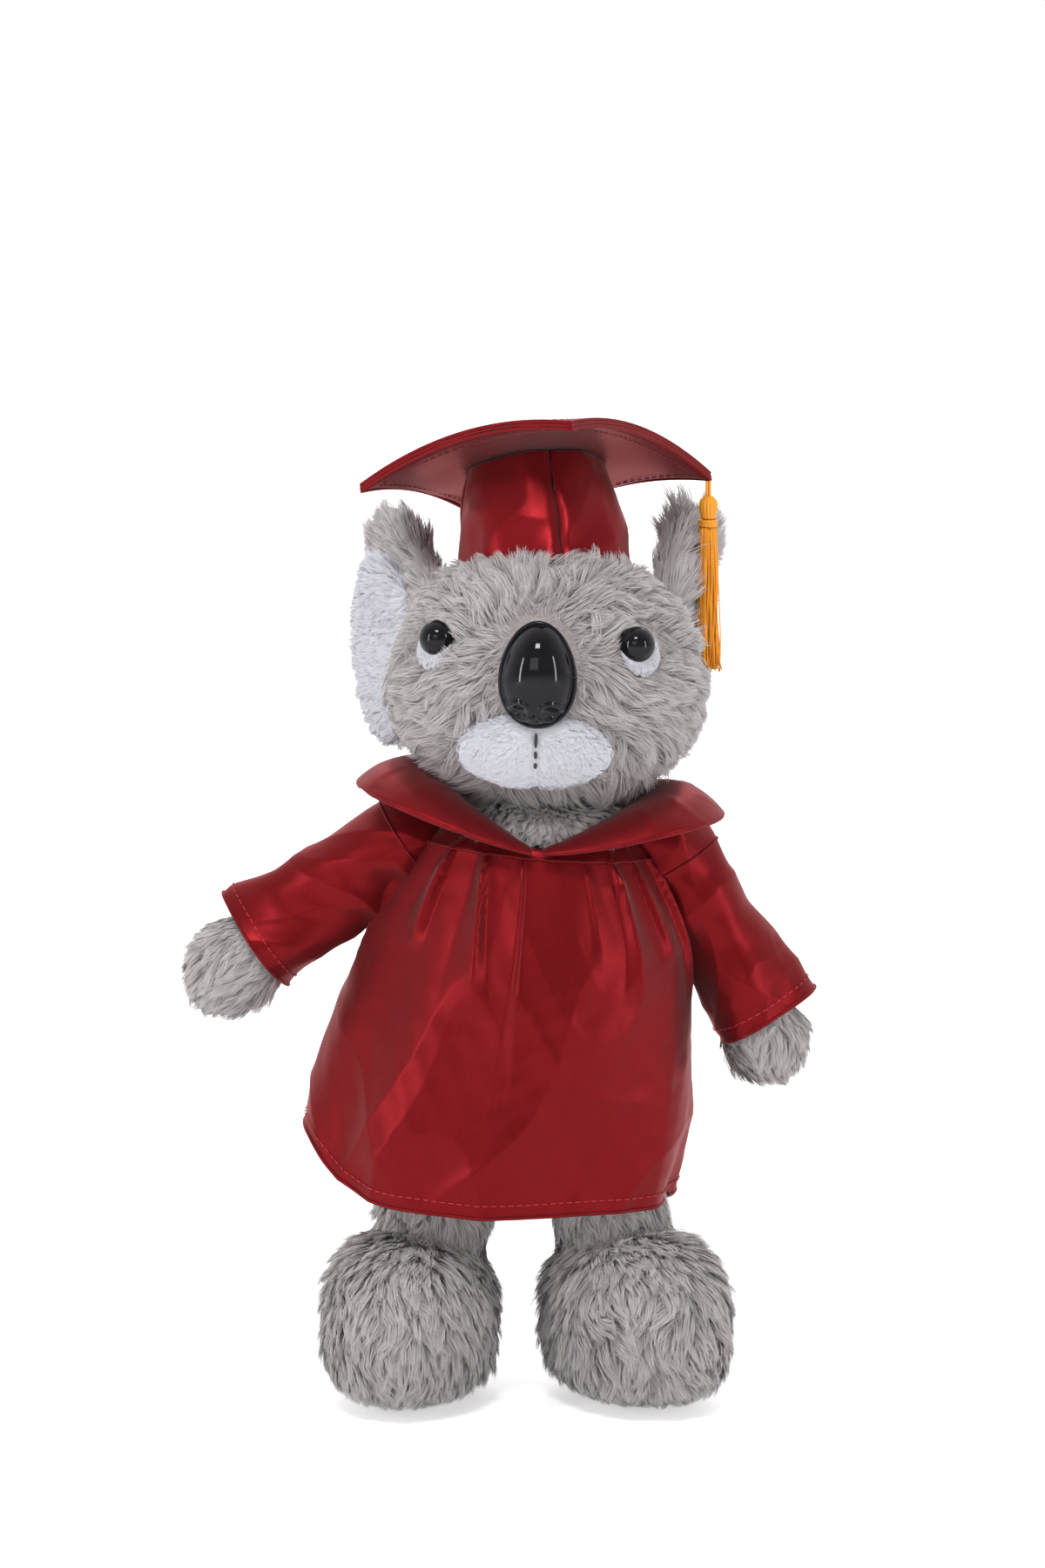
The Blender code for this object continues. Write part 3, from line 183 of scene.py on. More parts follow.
COLLAR_BASE = 0.1960
COLLAR_ANGLES = (3, 30, 60, 90, 120, 150, 180)
COLLAR_INNER_SHARES = (0.59, 0.53, 0.47, 0.445, 0.42, 0.41, 0.41)
COLLAR_OUTER_SHARES = (0.64, 0.74, 0.95, 1.0, 0.92, 0.80, 0.76)
COLLAR_INNER_RISE_SHARES = (0.05, 0.50, 0.72, 0.78, 0.80, 0.80, 0.80)
COLLAR_ARCH_RISE_SHARES = (0.06, 0.56, 1.15, 1.40, 1.20, 0.90, 0.80)
COLLAR_OUTER_RISE_SHARES = (0.02, 0.28, 0.74, 0.86, 0.80, 0.62, 0.55)
COLLAR_DIP = 0.0002

# Pleats below the yoke: angle at the top, angle at the foot, reach down, depth, width at
# the top, width at the foot, and the side of the fold's sharp edge
PLEAT_TABLE = (
    (-74, -84, 0.55, 0.0034, 6.0, 12.0, -1),
    (-41, -50, 0.30, 0.0052, 6.0, 13.0, 1),
    (-23, -16, 0.46, 0.0060, 6.0, 15.0, 1),
    (-6, -5, 0.85, 0.0026, 6.0, 20.0, 1),
    (22, 26, 0.30, 0.0012, 4.0, 10.0, -1),
    (36, 41, 0.40, 0.0056, 6.0, 15.0, -1),
    (50, 60, 0.30, 0.0030, 5.0, 12.0, -1),
    (64, 78, 0.42, 0.0040, 6.0, 14.0, -1),
    (106, 110, 0.50, 0.0030, 6.0, 13.0, 1),
    (128, 131, 0.42, 0.0032, 6.0, 12.0, -1),
    (150, 146, 0.55, 0.0036, 6.0, 13.0, 1),
    (-104, -108, 0.46, 0.0030, 6.0, 13.0, -1),
    (-126, -130, 0.56, 0.0032, 6.0, 12.0, 1),
    (-150, -147, 0.45, 0.0036, 6.0, 13.0, -1),
    (176, 172, 0.70, 0.0030, 6.0, 14.0, 1),
)

# Flat sizes of the cut cloth, and the area of each cut that isn't a rectangle
YOKE_SPANS = {
    "gown_yoke_front": (-95, 95, (0.080, 0.040), 0.0017),
    "gown_yoke_back_left": (95, 179, (0.042, 0.034), 0.0008),
    "gown_yoke_back_right": (-179, -95, (0.042, 0.034), 0.0008),
}

# Cap
CAP_X = -0.0020
CAP_BACK = 0.0113
CAP_RISE = 0.0338
CAP_TILT = 22.0
CAP_ROLL = -7.9
CAP_YAW = 13.7
CROWN_RADIUS = 0.0300
CROWN_TOP_RADIUS = 0.0245
CROWN_HEIGHT = 0.0364
CROWN_SKIRT = 0.0060
CROWN_BULGE_SHARE = 0.04
CROWN_PANELS = 4
BOARD_GAP = 0.0005
BOARD_SIDE = 0.0880
BOARD_LIFT = 0.0033
BOARD_DROOP = 0.0095
BOARD_THICKNESS = 0.0036
BOARD_SEAM_INSET = 0.0050
BOARD_RIDGES = 3
CAP = (
    HEAD
    @ Matrix.Translation((CAP_X, CAP_BACK, HEAD_RISE + CAP_RISE))
    @ Matrix.Rotation(math.radians(-CAP_TILT), 4, "X")
    @ Matrix.Rotation(math.radians(CAP_ROLL), 4, "Y")
    @ Matrix.Rotation(math.radians(CAP_YAW), 4, "Z")
)

# Tassel
TASSEL_THREAD = 0.0018
TASSEL_LOOP_LENGTH = 0.0040
TASSEL_HEAD_RADIUS = 0.0031
TASSEL_HEAD_HEIGHT = 0.0080
TASSEL_BINDING_RADIUS = 0.0033
TASSEL_BINDING_HEIGHT = 0.0022
TASSEL_TOP_RADIUS = 0.0027
TASSEL_BOTTOM_RADIUS = 0.0042
TASSEL_LENGTH = 0.0520
TASSEL_STRAY = 0.0080
SEAM_GAP = 0.0003

# Camera
CAMERA_TARGET = Vector((MIDDLE.x, MIDDLE.y, 0.214))
CAMERA_DISTANCE = 1.8
CAMERA_PITCH = 8.5
CAMERA_LENS = 120.0
CAMERA_SENSOR = 36.0

# One blade of pile
BLADE_STATIONS = np.array((0.0, 0.36, 0.72, 1.0))
BLADE_WIDTH_SHARES = np.array((1.0, 0.95, 0.62, 0.0))
BLADE_TRIANGLES = np.array(((0, 1, 3), (0, 3, 2), (2, 3, 5), (2, 5, 4), (4, 5, 6)))
STRANDS_TO_A_TUFT = 22


def distance(name, description, default):
    """A length that a user may change."""
    return FloatProperty(
        name=name,
        description=description,
        default=default,
        min=0.0,
        precision=5,
        subtype="DISTANCE",
        unit="LENGTH",
    )


def colour(name, description, default):
    """A linear colour that a user may change."""
    return FloatVectorProperty(
        name=name,
        description=description,
        default=default,
        size=3,
        min=0.0,
        max=1.0,
        subtype="COLOR",
    )


class KoalaPile(bpy.types.PropertyGroup):
    """The plush pile and the fleece."""

    head_pile: distance("Head pile", "Length of the pile on the head", 0.0100)
    ear_pile: distance("Ear pile", "Length of the pile round the ears", 0.0085)
    paw_pile: distance("Paw pile", "Length of the pile on the paws", 0.0100)
    foot_pile: distance("Foot pile", "Length of the pile on the legs and feet", 0.0096)
    fleece_pile: distance("Fleece pile", "Length of the short white pile", 0.0026)
    strand_width: distance("Strand width", "Width of one strand at its root", 0.00034)
    strands: IntProperty(
        name="Strands", description="Strands in one layer of a large part", default=39000, min=100
    )
    # Darker than the tips: partly the fibre's own grey, partly painted shade deep in the pile.
    shaded_root_colour: colour("Root colour", "Grey at the roots of the pile", (0.34, 0.300, 0.295))
    tip_colour: colour("Tip colour", "Grey at the tips of the pile", (0.70, 0.660, 0.665))
    fleece_colour: colour("Fleece colour", "White of the muzzle and ear lining", (0.80, 0.80, 0.86))


class KoalaCloth(bpy.types.PropertyGroup):
    """The satin of the gown and the cap, and its thread."""

    satin_colour: colour("Satin colour", "Dark red of the satin", (0.215, 0.0036, 0.0068))
    thread_colour: colour("Thread colour", "Bright red of the topstitching", (0.50, 0.012, 0.030))
    thickness: distance("Thickness", "Thickness of a folded edge", 0.0008)
    fold_depth: distance("Fold depth", "Depth of the loose folds at the hem", 0.0028)
    wrinkle: distance("Wrinkle", "Depth of the small wrinkles", 0.0005)
    crease: distance("Crease", "Depth of the pressed creases", 0.0012)
    stitch_length: distance("Stitch length", "Length of one topstitch", 0.0022)
    stitch_pitch: distance("Stitch pitch", "From one topstitch to the next", 0.0030)
    stitch_width: distance("Stitch width", "Thickness of the sewing thread", 0.00050)
    hem_inset: distance("Hem inset", "From the edge to the topstitching", 0.0045)


class KoalaTrim(bpy.types.PropertyGroup):
    """The tassel's yarn, and the moulded eyes and nose."""

    yarn_colour: colour("Yarn colour", "Yellow orange of the tassel", (1.0, 0.40, 0.022))
    strand_width: distance("Yarn width", "Thickness of one tassel strand", 0.00050)
    strands: IntProperty(
        name="Tassel strands", description="Strands in the tassel", default=110, min=10
    )
    plastic_colour: colour("Plastic colour", "Black of the nose and the eyes", (0.006, 0.006, 0.008))


# Shape tools


def unit(vectors):
    """Vectors of length one."""
    return vectors / np.maximum(np.linalg.norm(vectors, axis=-1, keepdims=True), 1e-12)


def placed(points, matrix):
    """Points moved by a matrix."""
    turn = np.array(matrix.to_3x3())
    return points @ turn.T + np.array(matrix.translation)


def local(points, matrix):
    """Points of the row frame, read in a matrix's own frame."""
    return placed(points, matrix.inverted())


def ripple(points, wavelength, seed, stretch=(1.0, 1.0, 1.0)):
    """Soft waves of no fixed direction, the same on every run."""
    rng = np.random.default_rng(seed)
    total = np.zeros(points.shape[:-1])
    waves = 8
    for _ in range(waves):
        way = unit(rng.normal(size=3)) * math.tau / (wavelength * rng.uniform(0.7, 1.6))
        total += np.sin(points @ (way / np.array(stretch)) + rng.uniform(0, math.tau))
    return total / math.sqrt(waves * 2)


def creases(points, wavelength, seed, stretch=(1.0, 1.0, 1.0)):
    """Sharp ridges with soft hollows between them, as pressed satin has, from -1 to 1."""
    rng = np.random.default_rng(seed)
    waves = 4
    bend = ripple(points, wavelength * 1.7, seed + 100, stretch)
    total = np.zeros(points.shape[:-1])
    for _ in range(waves):
        way = unit(rng.normal(size=3)) * math.pi / (wavelength * rng.uniform(0.8, 1.5))
        wave = np.abs(np.sin(points @ (way / np.array(stretch)) + 0.9 * bend + rng.uniform(0, math.tau)))
        total += 1.0 - 2.0 * wave**0.8
    return total / waves


def smooth_read(places, stations, values):
    """Read a table along a smooth curve through its values."""
    stations = np.asarray(stations, float)
    values = np.asarray(values, float)
    slopes = np.gradient(values, stations)
    index = np.clip(np.searchsorted(stations, places, side="right") - 1, 0, len(stations) - 2)
    span = stations[index + 1] - stations[index]
    t = np.clip((places - stations[index]) / span, 0.0, 1.0)
    first = (2 * t**3 - 3 * t**2 + 1) * values[index] + (t**3 - 2 * t**2 + t) * span * slopes[index]
    last = (3 * t**2 - 2 * t**3) * values[index + 1] + (t**3 - t**2) * span * slopes[index + 1]
    return first + last


def faced_out(mesh):
    """Turn a closed mesh's faces outward and shade it smooth."""
    shape = bmesh.new()
    shape.from_mesh(mesh)
    bmesh.ops.recalc_face_normals(shape, faces=shape.faces)
    shape.to_mesh(mesh)
    shape.free()
    mesh.shade_smooth()
    return mesh


def stack_faces(rows, count, first=0):
    """Quads round a stack of rings."""
    here = np.arange(rows * count).reshape(rows, count) + first
    there = np.roll(here, -1, axis=1)
    return np.stack([here[:-1], there[:-1], there[1:], here[1:]], -1).reshape(-1, 4).tolist()


def rings_mesh(name, stacks):
    """A closed mesh of one or more stacks of rings, with flat ends."""
    points = []
    faces = []
    for rings in stacks:
        rings = np.asarray(rings)
        rows, count, _ = rings.shape
        first = sum(len(p) for p in points)
        faces += stack_faces(rows, count, first)
        faces.append(list(range(first + count - 1, first - 1, -1)))
        faces.append(list(range(first + (rows - 1) * count, first + rows * count)))
        points.append(rings.reshape(-1, 3))
    mesh = bpy.data.meshes.new(name)
    mesh.from_pydata(np.concatenate(points).tolist(), [], faces)
    return faced_out(mesh)


def cloth_mesh(name, points, closed=False):
    """A sheet through a grid of points, which may close on itself along its rows."""
    rows, count, _ = points.shape
    if closed:
        faces = [face[::-1] for face in stack_faces(rows, count)]
    else:
        here = np.arange(rows * count).reshape(rows, count)
        corners = [here[:-1, :-1], here[:-1, 1:], here[1:, 1:], here[1:, :-1]]
        faces = np.stack(corners, -1).reshape(-1, 4).tolist()
    mesh = bpy.data.meshes.new(name)
    mesh.from_pydata(points.reshape(-1, 3).tolist(), [], faces)
    mesh.shade_smooth()
    return mesh


def settled(mesh, kind, **settings):
    """A mesh after one modifier, with nothing left to apply."""
    holder = bpy.data.objects.new("settling", mesh)
    bpy.context.scene.collection.objects.link(holder)
    step = holder.modifiers.new("settling", kind)
    for name, value in settings.items():
        setattr(step, name, value)
    made = bpy.data.meshes.new_from_object(holder.evaluated_get(bpy.context.evaluated_depsgraph_get()))
    made.name = mesh.name
    bpy.data.objects.remove(holder)
    made.shade_smooth()
    return made


def rounded(mesh, levels=2):
    """The mesh after subdivision."""
    return settled(mesh, "SUBSURF", levels=levels, render_levels=levels)


def joined_form(name, meshes, voxel):
    """Several overlapping closed forms as one skin."""
    shape = bmesh.new()
    for mesh in meshes:
        shape.from_mesh(mesh)
    whole = bpy.data.meshes.new(name)
    shape.to_mesh(whole)
    shape.free()
    whole = settled(whole, "REMESH", mode="VOXEL", voxel_size=voxel, use_smooth_shade=True)
    return settled(whole, "SMOOTH", factor=0.6, iterations=6)


def superellipsoid(centre, halves, matrix, rows=26, count=40, powers=(2.0, 2.0)):
    """Rings of a round or squarish form, with a power above and one below its waist."""
    rise = np.linspace(-1.52, 1.52, rows)[:, None]
    turn = np.linspace(0, math.tau, count, endpoint=False)[None, :]
    level = np.sin(rise)
    reach = np.cos(rise)
    power = np.where(level < 0.0, powers[1], powers[0])
    reach = reach ** (2.0 / power)
    height = np.sign(level) * np.abs(level) ** (2.0 / power)
    grid = np.stack([reach * np.cos(turn), reach * np.sin(turn), height * np.ones_like(turn)], -1)
    return placed(grid * np.array(halves) + np.array(centre), matrix)


def frames_along(path):
    """Two side directions at every point of a path that doesn't twist."""
    path = np.asarray(path, float)
    ways = unit(np.gradient(path, axis=0))
    side = np.cross(ways[0], (0.0, 0.0, 1.0))
    if np.linalg.norm(side) < 1e-3:
        side = np.cross(ways[0], (0.0, 1.0, 0.0))
    sides = []
    for way in ways:
        side = unit(side - way * (side @ way))
        sides.append(side)
    sides = np.array(sides)
    return sides, np.cross(ways, sides)


def tube_rings(path, radii, sides=6):
    """Rings of a round tube along a path."""
    path = np.asarray(path, float)
    across, over = frames_along(path)
    radii = np.broadcast_to(np.asarray(radii, float), (len(path),))
    turn = np.linspace(0, math.tau, sides, endpoint=False)
    round_it = across[:, None] * np.cos(turn)[None, :, None] + over[:, None] * np.sin(turn)[None, :, None]
    return path[:, None] + round_it * radii[:, None, None]


def evenly(path, pitch):
    """Points at an even pitch along a path, with the way along it."""
    path = np.asarray(path, float)
    steps = np.linalg.norm(np.diff(path, axis=0), axis=1)
    run = np.concatenate([[0.0], np.cumsum(steps)])
    marks = np.arange(pitch / 2, run[-1], pitch)
    points = np.stack([np.interp(marks, run, path[:, axis]) for axis in range(3)], -1)
    ahead = np.stack([np.interp(marks + pitch / 4, run, path[:, axis]) for axis in range(3)], -1)
    return points, unit(ahead - points)


def add_piece(name, mesh, look, body=None, replaces=()):
    """An object for one piece, on its body and in place of its solids."""
    piece = bpy.data.objects.new(name, mesh)
    bpy.context.scene.collection.objects.link(piece)
    mesh.materials.append(look)
    if body:
        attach(piece, body)
    if replaces:
        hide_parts(*replaces)
    return piece


def thicken(piece, thickness, offset=-1.0):
    """Give a sheet of cloth its thickness."""
    step = piece.modifiers.new("thickness", "SOLIDIFY")
    step.thickness = thickness
    step.offset = offset
    return piece


# Finishes


def blank(name):
    """A new material, its nodes, its links and its shader."""
    look = bpy.data.materials.new(name)
    look.use_nodes = True
    tree = look.node_tree
    return look, tree.nodes, tree.links, tree.nodes["Principled BSDF"]


def effect(name, inputs, outputs):
    """An empty node group with named sockets, and whether it is new."""
    group = bpy.data.node_groups.get(name)
    if group:
        return group, False
    group = bpy.data.node_groups.new(name, "ShaderNodeTree")
    for label, kind, value in inputs:
        socket = group.interface.new_socket(label, in_out="INPUT", socket_type=kind)
        socket.default_value = value
    for label, kind in outputs:
        group.interface.new_socket(label, in_out="OUTPUT", socket_type=kind)
    return group, True


def mixed(nodes, links, factor, first, second, kind="MIX"):
    """A colour mix. Its factor and colours are sockets or values."""
    mix = nodes.new("ShaderNodeMix")
    mix.data_type = "RGBA"
    mix.blend_type = kind
    for socket, value in ((mix.inputs[0], factor), (mix.inputs[6], first), (mix.inputs[7], second)):
        if isinstance(value, bpy.types.NodeSocket):
            links.new(value, socket)
        else:
            socket.default_value = value
    return mix.outputs[2]


def noise_at(nodes, links, place, scale, detail, stretch=(1.0, 1.0, 1.0)):
    """Noise on a stretched place."""
    mapping = nodes.new("ShaderNodeMapping")
    mapping.inputs["Scale"].default_value = stretch
    texture = nodes.new("ShaderNodeTexNoise")
    texture.inputs["Detail"].default_value = detail
    links.new(place, mapping.inputs["Vector"])
    links.new(mapping.outputs["Vector"], texture.inputs["Vector"])
    if isinstance(scale, bpy.types.NodeSocket):
        links.new(scale, texture.inputs["Scale"])
    else:
        texture.inputs["Scale"].default_value = scale
    return texture.outputs["Fac"]


def strand_effect():
    """Colour along a strand, from its root to its tip, and from one strand to the next."""
    group, new = effect(
        "Strand shade",
        (
            ("Root Colour", "NodeSocketColor", (0.2, 0.2, 0.2, 1.0)),
            ("Tip Colour", "NodeSocketColor", (0.6, 0.6, 0.6, 1.0)),
            ("Dark", "NodeSocketColor", (0.7, 0.7, 0.7, 1.0)),
        ),
        (("Colour", "NodeSocketColor"),),
    )
    if not new:
        return group
    nodes = group.nodes
    links = group.links
    given = nodes.new("NodeGroupInput")
    out = nodes.new("NodeGroupOutput")
    where = nodes.new("ShaderNodeUVMap")
    where.uv_map = "OFBake"
    split = nodes.new("ShaderNodeSeparateXYZ")
    curve = nodes.new("ShaderNodeMath")
    curve.operation = "POWER"
    curve.inputs[1].default_value = 0.75
    links.new(where.outputs["UV"], split.inputs["Vector"])
    links.new(split.outputs["Y"], curve.inputs[0])
    # Root to tip: where the root colour is the darker one, it paints the shade deep in the pile.
    along = mixed(nodes, links, curve.outputs[0], given.outputs["Root Colour"], given.outputs["Tip Colour"])
    white = (1.0, 1.0, 1.0, 1.0)
    shade = mixed(nodes, links, split.outputs["X"], given.outputs["Dark"], white)
    links.new(mixed(nodes, links, 1.0, along, shade, "MULTIPLY"), out.inputs["Colour"])
    return group


def pile_look(name, root, tip, dark, roughness=0.85):
    """Pile or yarn: one colour to the next along each strand."""
    look, nodes, links, shader = blank(name)
    shade = nodes.new("ShaderNodeGroup")
    shade.node_tree = strand_effect()
    shade.inputs["Root Colour"].default_value = (*root, 1.0)
    shade.inputs["Tip Colour"].default_value = (*tip, 1.0)
    shade.inputs["Dark"].default_value = (dark, dark, dark, 1.0)
    links.new(shade.outputs["Colour"], shader.inputs["Base Color"])
    shader.inputs["Roughness"].default_value = roughness
    shader.inputs["Specular IOR Level"].default_value = 0.25
    shader.inputs["Sheen Weight"].default_value = 0.15
    return look


def mottle_effect():
    """Uneven tone and fine bumps, for backings, fibre, card and moulded parts."""
    group, new = effect(
        "Mottle",
        (
            ("Dark", "NodeSocketColor", (0.5, 0.5, 0.5, 1.0)),
            ("Light", "NodeSocketColor", (0.6, 0.6, 0.6, 1.0)),
            ("Scale", "NodeSocketFloat", 300.0),
        ),
        (("Colour", "NodeSocketColor"), ("Height", "NodeSocketFloat")),
    )
    if not new:
        return group
    nodes = group.nodes
    links = group.links
    given = nodes.new("NodeGroupInput")
    out = nodes.new("NodeGroupOutput")
    place = nodes.new("ShaderNodeTexCoord").outputs["Object"]
    tone = noise_at(nodes, links, place, given.outputs["Scale"], 4.0)
    links.new(mixed(nodes, links, tone, given.outputs["Dark"], given.outputs["Light"]), out.inputs["Colour"])
    links.new(tone, out.inputs["Height"])
    return group


def plain_look(name, dark, light, scale, roughness, bump=0.3, depth=0.0002):
    """A finish of uneven tone with a fine bump."""
    look, nodes, links, shader = blank(name)
    mottle = nodes.new("ShaderNodeGroup")
    mottle.node_tree = mottle_effect()
    mottle.inputs["Dark"].default_value = (*dark, 1.0)
    mottle.inputs["Light"].default_value = (*light, 1.0)
    mottle.inputs["Scale"].default_value = scale
    raised = nodes.new("ShaderNodeBump")
    raised.inputs["Strength"].default_value = bump
    raised.inputs["Distance"].default_value = depth
    links.new(mottle.outputs["Colour"], shader.inputs["Base Color"])
    links.new(mottle.outputs["Height"], raised.inputs["Height"])
    links.new(raised.outputs["Normal"], shader.inputs["Normal"])
    shader.inputs["Roughness"].default_value = roughness
    return look


def satin_effect():
    """Slubs of uneven yarn down the cloth, soft patches, and the fine rib of the weave."""
    group, new = effect(
        "Satin weave",
        (
            ("Satin Colour", "NodeSocketColor", (0.3, 0.01, 0.02, 1.0)),
            ("Slub Scale", "NodeSocketFloat", 1400.0),
        ),
        (
            ("Colour", "NodeSocketColor"),
            ("Roughness", "NodeSocketFloat"),
            ("Height", "NodeSocketFloat"),
        ),
    )
    if not new:
        return group
    nodes = group.nodes
    links = group.links
    given = nodes.new("NodeGroupInput")
    out = nodes.new("NodeGroupOutput")
    place = nodes.new("ShaderNodeTexCoord").outputs["Object"]
    slub = noise_at(nodes, links, place, given.outputs["Slub Scale"], 3.0, (1.0, 1.0, 0.05))
    patch = noise_at(nodes, links, place, 60.0, 2.0)
    dark = mixed(nodes, links, 1.0, given.outputs["Satin Colour"], (0.78, 0.70, 0.74, 1.0), "MULTIPLY")
    tone = mixed(nodes, links, slub, dark, given.outputs["Satin Colour"])
    faded = mixed(nodes, links, 1.0, tone, (0.90, 0.88, 0.90, 1.0), "MULTIPLY")
    links.new(mixed(nodes, links, patch, faded, tone), out.inputs["Colour"])
    spread = nodes.new("ShaderNodeMapRange")
    spread.inputs["To Min"].default_value = 0.31
    spread.inputs["To Max"].default_value = 0.45
    links.new(slub, spread.inputs["Value"])
    links.new(spread.outputs["Result"], out.inputs["Roughness"])
    links.new(slub, out.inputs["Height"])
    return group


def satin_look(name, satin):
    """Dark red satin, whose shine takes the colour of the cloth."""
    look, nodes, links, shader = blank(name)
    weave = nodes.new("ShaderNodeGroup")
    weave.node_tree = satin_effect()
    weave.inputs["Satin Colour"].default_value = (*satin, 1.0)
    raised = nodes.new("ShaderNodeBump")
    raised.inputs["Strength"].default_value = 0.22
    raised.inputs["Distance"].default_value = 0.0001
    links.new(weave.outputs["Colour"], shader.inputs["Base Color"])
    links.new(weave.outputs["Roughness"], shader.inputs["Roughness"])
    links.new(weave.outputs["Height"], raised.inputs["Height"])
    links.new(raised.outputs["Normal"], shader.inputs["Normal"])
    shader.inputs["Metallic"].default_value = 0.60
    shader.inputs["Specular Tint"].default_value = (1.0, 0.34, 0.36, 1.0)
    shader.inputs["Anisotropic"].default_value = 0.35
    shader.inputs["Sheen Weight"].default_value = 0.10
    return look


def gloss_look(name, plastic):
    """Black moulded plastic with a polished skin."""
    look = plain_look(name, plastic, tuple(value * 1.6 for value in plastic), 200.0, 0.06, 0.03)
    look.node_tree.nodes["Principled BSDF"].inputs["Specular IOR Level"].default_value = 0.26
    return look


# Pile


def scatter(mesh, count, rng):
    """Points spread evenly over a mesh, with the way out of it at each."""
    mesh.calc_loop_triangles()
    corners = np.empty(len(mesh.loop_triangles) * 3, np.int32)
    mesh.loop_triangles.foreach_get("vertices", corners)
    corners = corners.reshape(-1, 3)
    places = np.empty(len(mesh.vertices) * 3, np.float32)
    ways = np.empty(len(mesh.vertices) * 3, np.float32)
    mesh.vertices.foreach_get("co", places)
    mesh.vertices.foreach_get("normal", ways)
    places = places.reshape(-1, 3).astype(float)
    ways = ways.reshape(-1, 3).astype(float)
    first, second, third = (places[corners[:, index]] for index in range(3))
    areas = np.linalg.norm(np.cross(second - first, third - first), axis=1)
    pick = rng.choice(len(corners), count, p=areas / areas.sum())
    u, v = rng.random((2, count))
    over = u + v > 1.0
    u[over] = 1.0 - u[over]
    v[over] = 1.0 - v[over]
    weights = np.stack([1.0 - u - v, u, v], -1)[..., None]
    chosen = corners[pick]
    return (places[chosen] * weights).sum(1), unit((ways[chosen] * weights).sum(1))


def nearest_tuft(roots, tufts):
    """For each root, the tuft that it belongs to."""
    tree = kdtree.KDTree(tufts)
    for index in range(tufts):
        tree.insert(roots[index], index)
    tree.balance()
    return np.array([tree.find(root)[1] for root in roots])


def strand_mesh(name, points, widths, sides, outs, shades):
    """Blades of pile. Their map holds each strand's shade, and its root to its tip."""
    count = len(points)
    half = (widths[:, None] * BLADE_WIDTH_SHARES[None, :] / 2)[..., None] * sides[:, None]
    left = points[:, :3] - half[:, :3]
    right = points[:, :3] + half[:, :3]
    places = np.stack([left, right], 2).reshape(count, 6, 3)
    places = np.concatenate([places, points[:, 3:]], 1)
    round_it = sides[:, None] * 0.25
    soft = np.concatenate(
        [np.tile(np.stack([outs - round_it[:, 0], outs + round_it[:, 0]], 1), (1, 3, 1)), outs[:, None]], 1
    )
    triangles = (BLADE_TRIANGLES[None] + (np.arange(count) * 7)[:, None, None]).reshape(-1, 3)
    mesh = bpy.data.meshes.new(name)
    mesh.vertices.add(count * 7)
    mesh.vertices.foreach_set("co", places.astype(np.float32).ravel())
    mesh.loops.add(len(triangles) * 3)
    mesh.loops.foreach_set("vertex_index", triangles.astype(np.int32).ravel())
    mesh.polygons.add(len(triangles))
    mesh.polygons.foreach_set("loop_start", np.arange(0, len(triangles) * 3, 3, dtype=np.int32))
    mesh.update(calc_edges=True)
    heights = np.array([0.0, 0.0, 0.36, 0.36, 0.72, 0.72, 1.0])
    spots = np.stack([np.repeat(shades, 7), np.tile(heights, count)], -1)
    layer = mesh.uv_layers.new(name="OFBake")
    layer.uv.foreach_set("vector", spots[triangles.ravel()].astype(np.float32).ravel())
    mesh.shade_smooth()
    mesh.normals_split_custom_set_from_vertices(unit(soft).reshape(-1, 3).tolist())
    return mesh


def grow_pile(name, coat, count, pile, comb, look, body, slot, seed, reach=None, **style):
    """Pile on a coat: combed, swirled a little, and gathered in tufts."""
    rise = style.get("rise", 0.45)
    gather = style.get("gather", 0.45)
    swirl = style.get("swirl", 0.60)
    width = style.get("width", bpy.context.scene.koala_pile.strand_width)
    rng = np.random.default_rng(seed)
    roots, outs = scatter(coat.data, count, rng)
    share = np.ones(count) if reach is None else reach(roots, outs)
    kept = share > 0.04
    roots, outs, share = roots[kept], outs[kept], share[kept]
    count = len(roots)
    tufts = max(8, count // STRANDS_TO_A_TUFT)
    tuft = nearest_tuft(roots, tufts)
    tuft_turn = rng.normal(0.0, 0.28, tufts)[tuft]
    tuft_long = rng.uniform(0.78, 1.15, tufts)[tuft]
    tuft_shade = rng.uniform(0.0, 1.0, tufts)[tuft]
    tuft_rise = rng.uniform(0.75, 1.25, tufts)[tuft]
    way = comb(roots, outs)
    way = unit(way - outs * (way * outs).sum(1, keepdims=True))
    turn = swirl * ripple(roots, 0.022, seed) + tuft_turn + rng.normal(0.0, 0.12, count)
    way = way * np.cos(turn)[:, None] + np.cross(outs, way) * np.sin(turn)[:, None]
    long = (pile * share * tuft_long * rng.uniform(0.82, 1.08, count))[:, None]
    lift = (rise * tuft_rise * rng.uniform(0.85, 1.15, count))[:, None]
    lay = np.sqrt(np.maximum(0.05, 1.0 - lift**2))
    tips = roots + long * (outs * lift + way * lay)
    pull = (tips[tuft] - tips) * gather
    limit = np.maximum(np.linalg.norm(pull, axis=1, keepdims=True) / (long * 0.5), 1.0)
    pull = pull / limit
    points = []
    for place in BLADE_STATIONS:
        stand = outs * lift * (1.7 * place - 0.7 * place**2)
        lean = way * lay * (0.5 * place + 0.5 * place**2)
        points.append(roots + long * (stand + lean) + pull * place**1.5)
    points = np.stack(points, 1)
    points[..., 2] = np.maximum(points[..., 2], FLOOR_GAP)
    twist = rng.uniform(-0.8, 0.8, count)[:, None]
    sides = unit(np.cross(way, outs) * np.cos(twist) + outs * np.sin(twist))
    shades = np.clip(0.15 + 0.45 * tuft_shade + 0.4 * rng.random(count), 0.0, 1.0)
    widths = width * rng.uniform(0.7, 1.25, count) * np.sqrt(np.clip(share, 0.3, 1.0))
    leaned = unit(outs + way * 0.25)
    mesh = strand_mesh(name, points, widths, sides, leaned, shades)
    return add_piece(name, mesh, look, body)


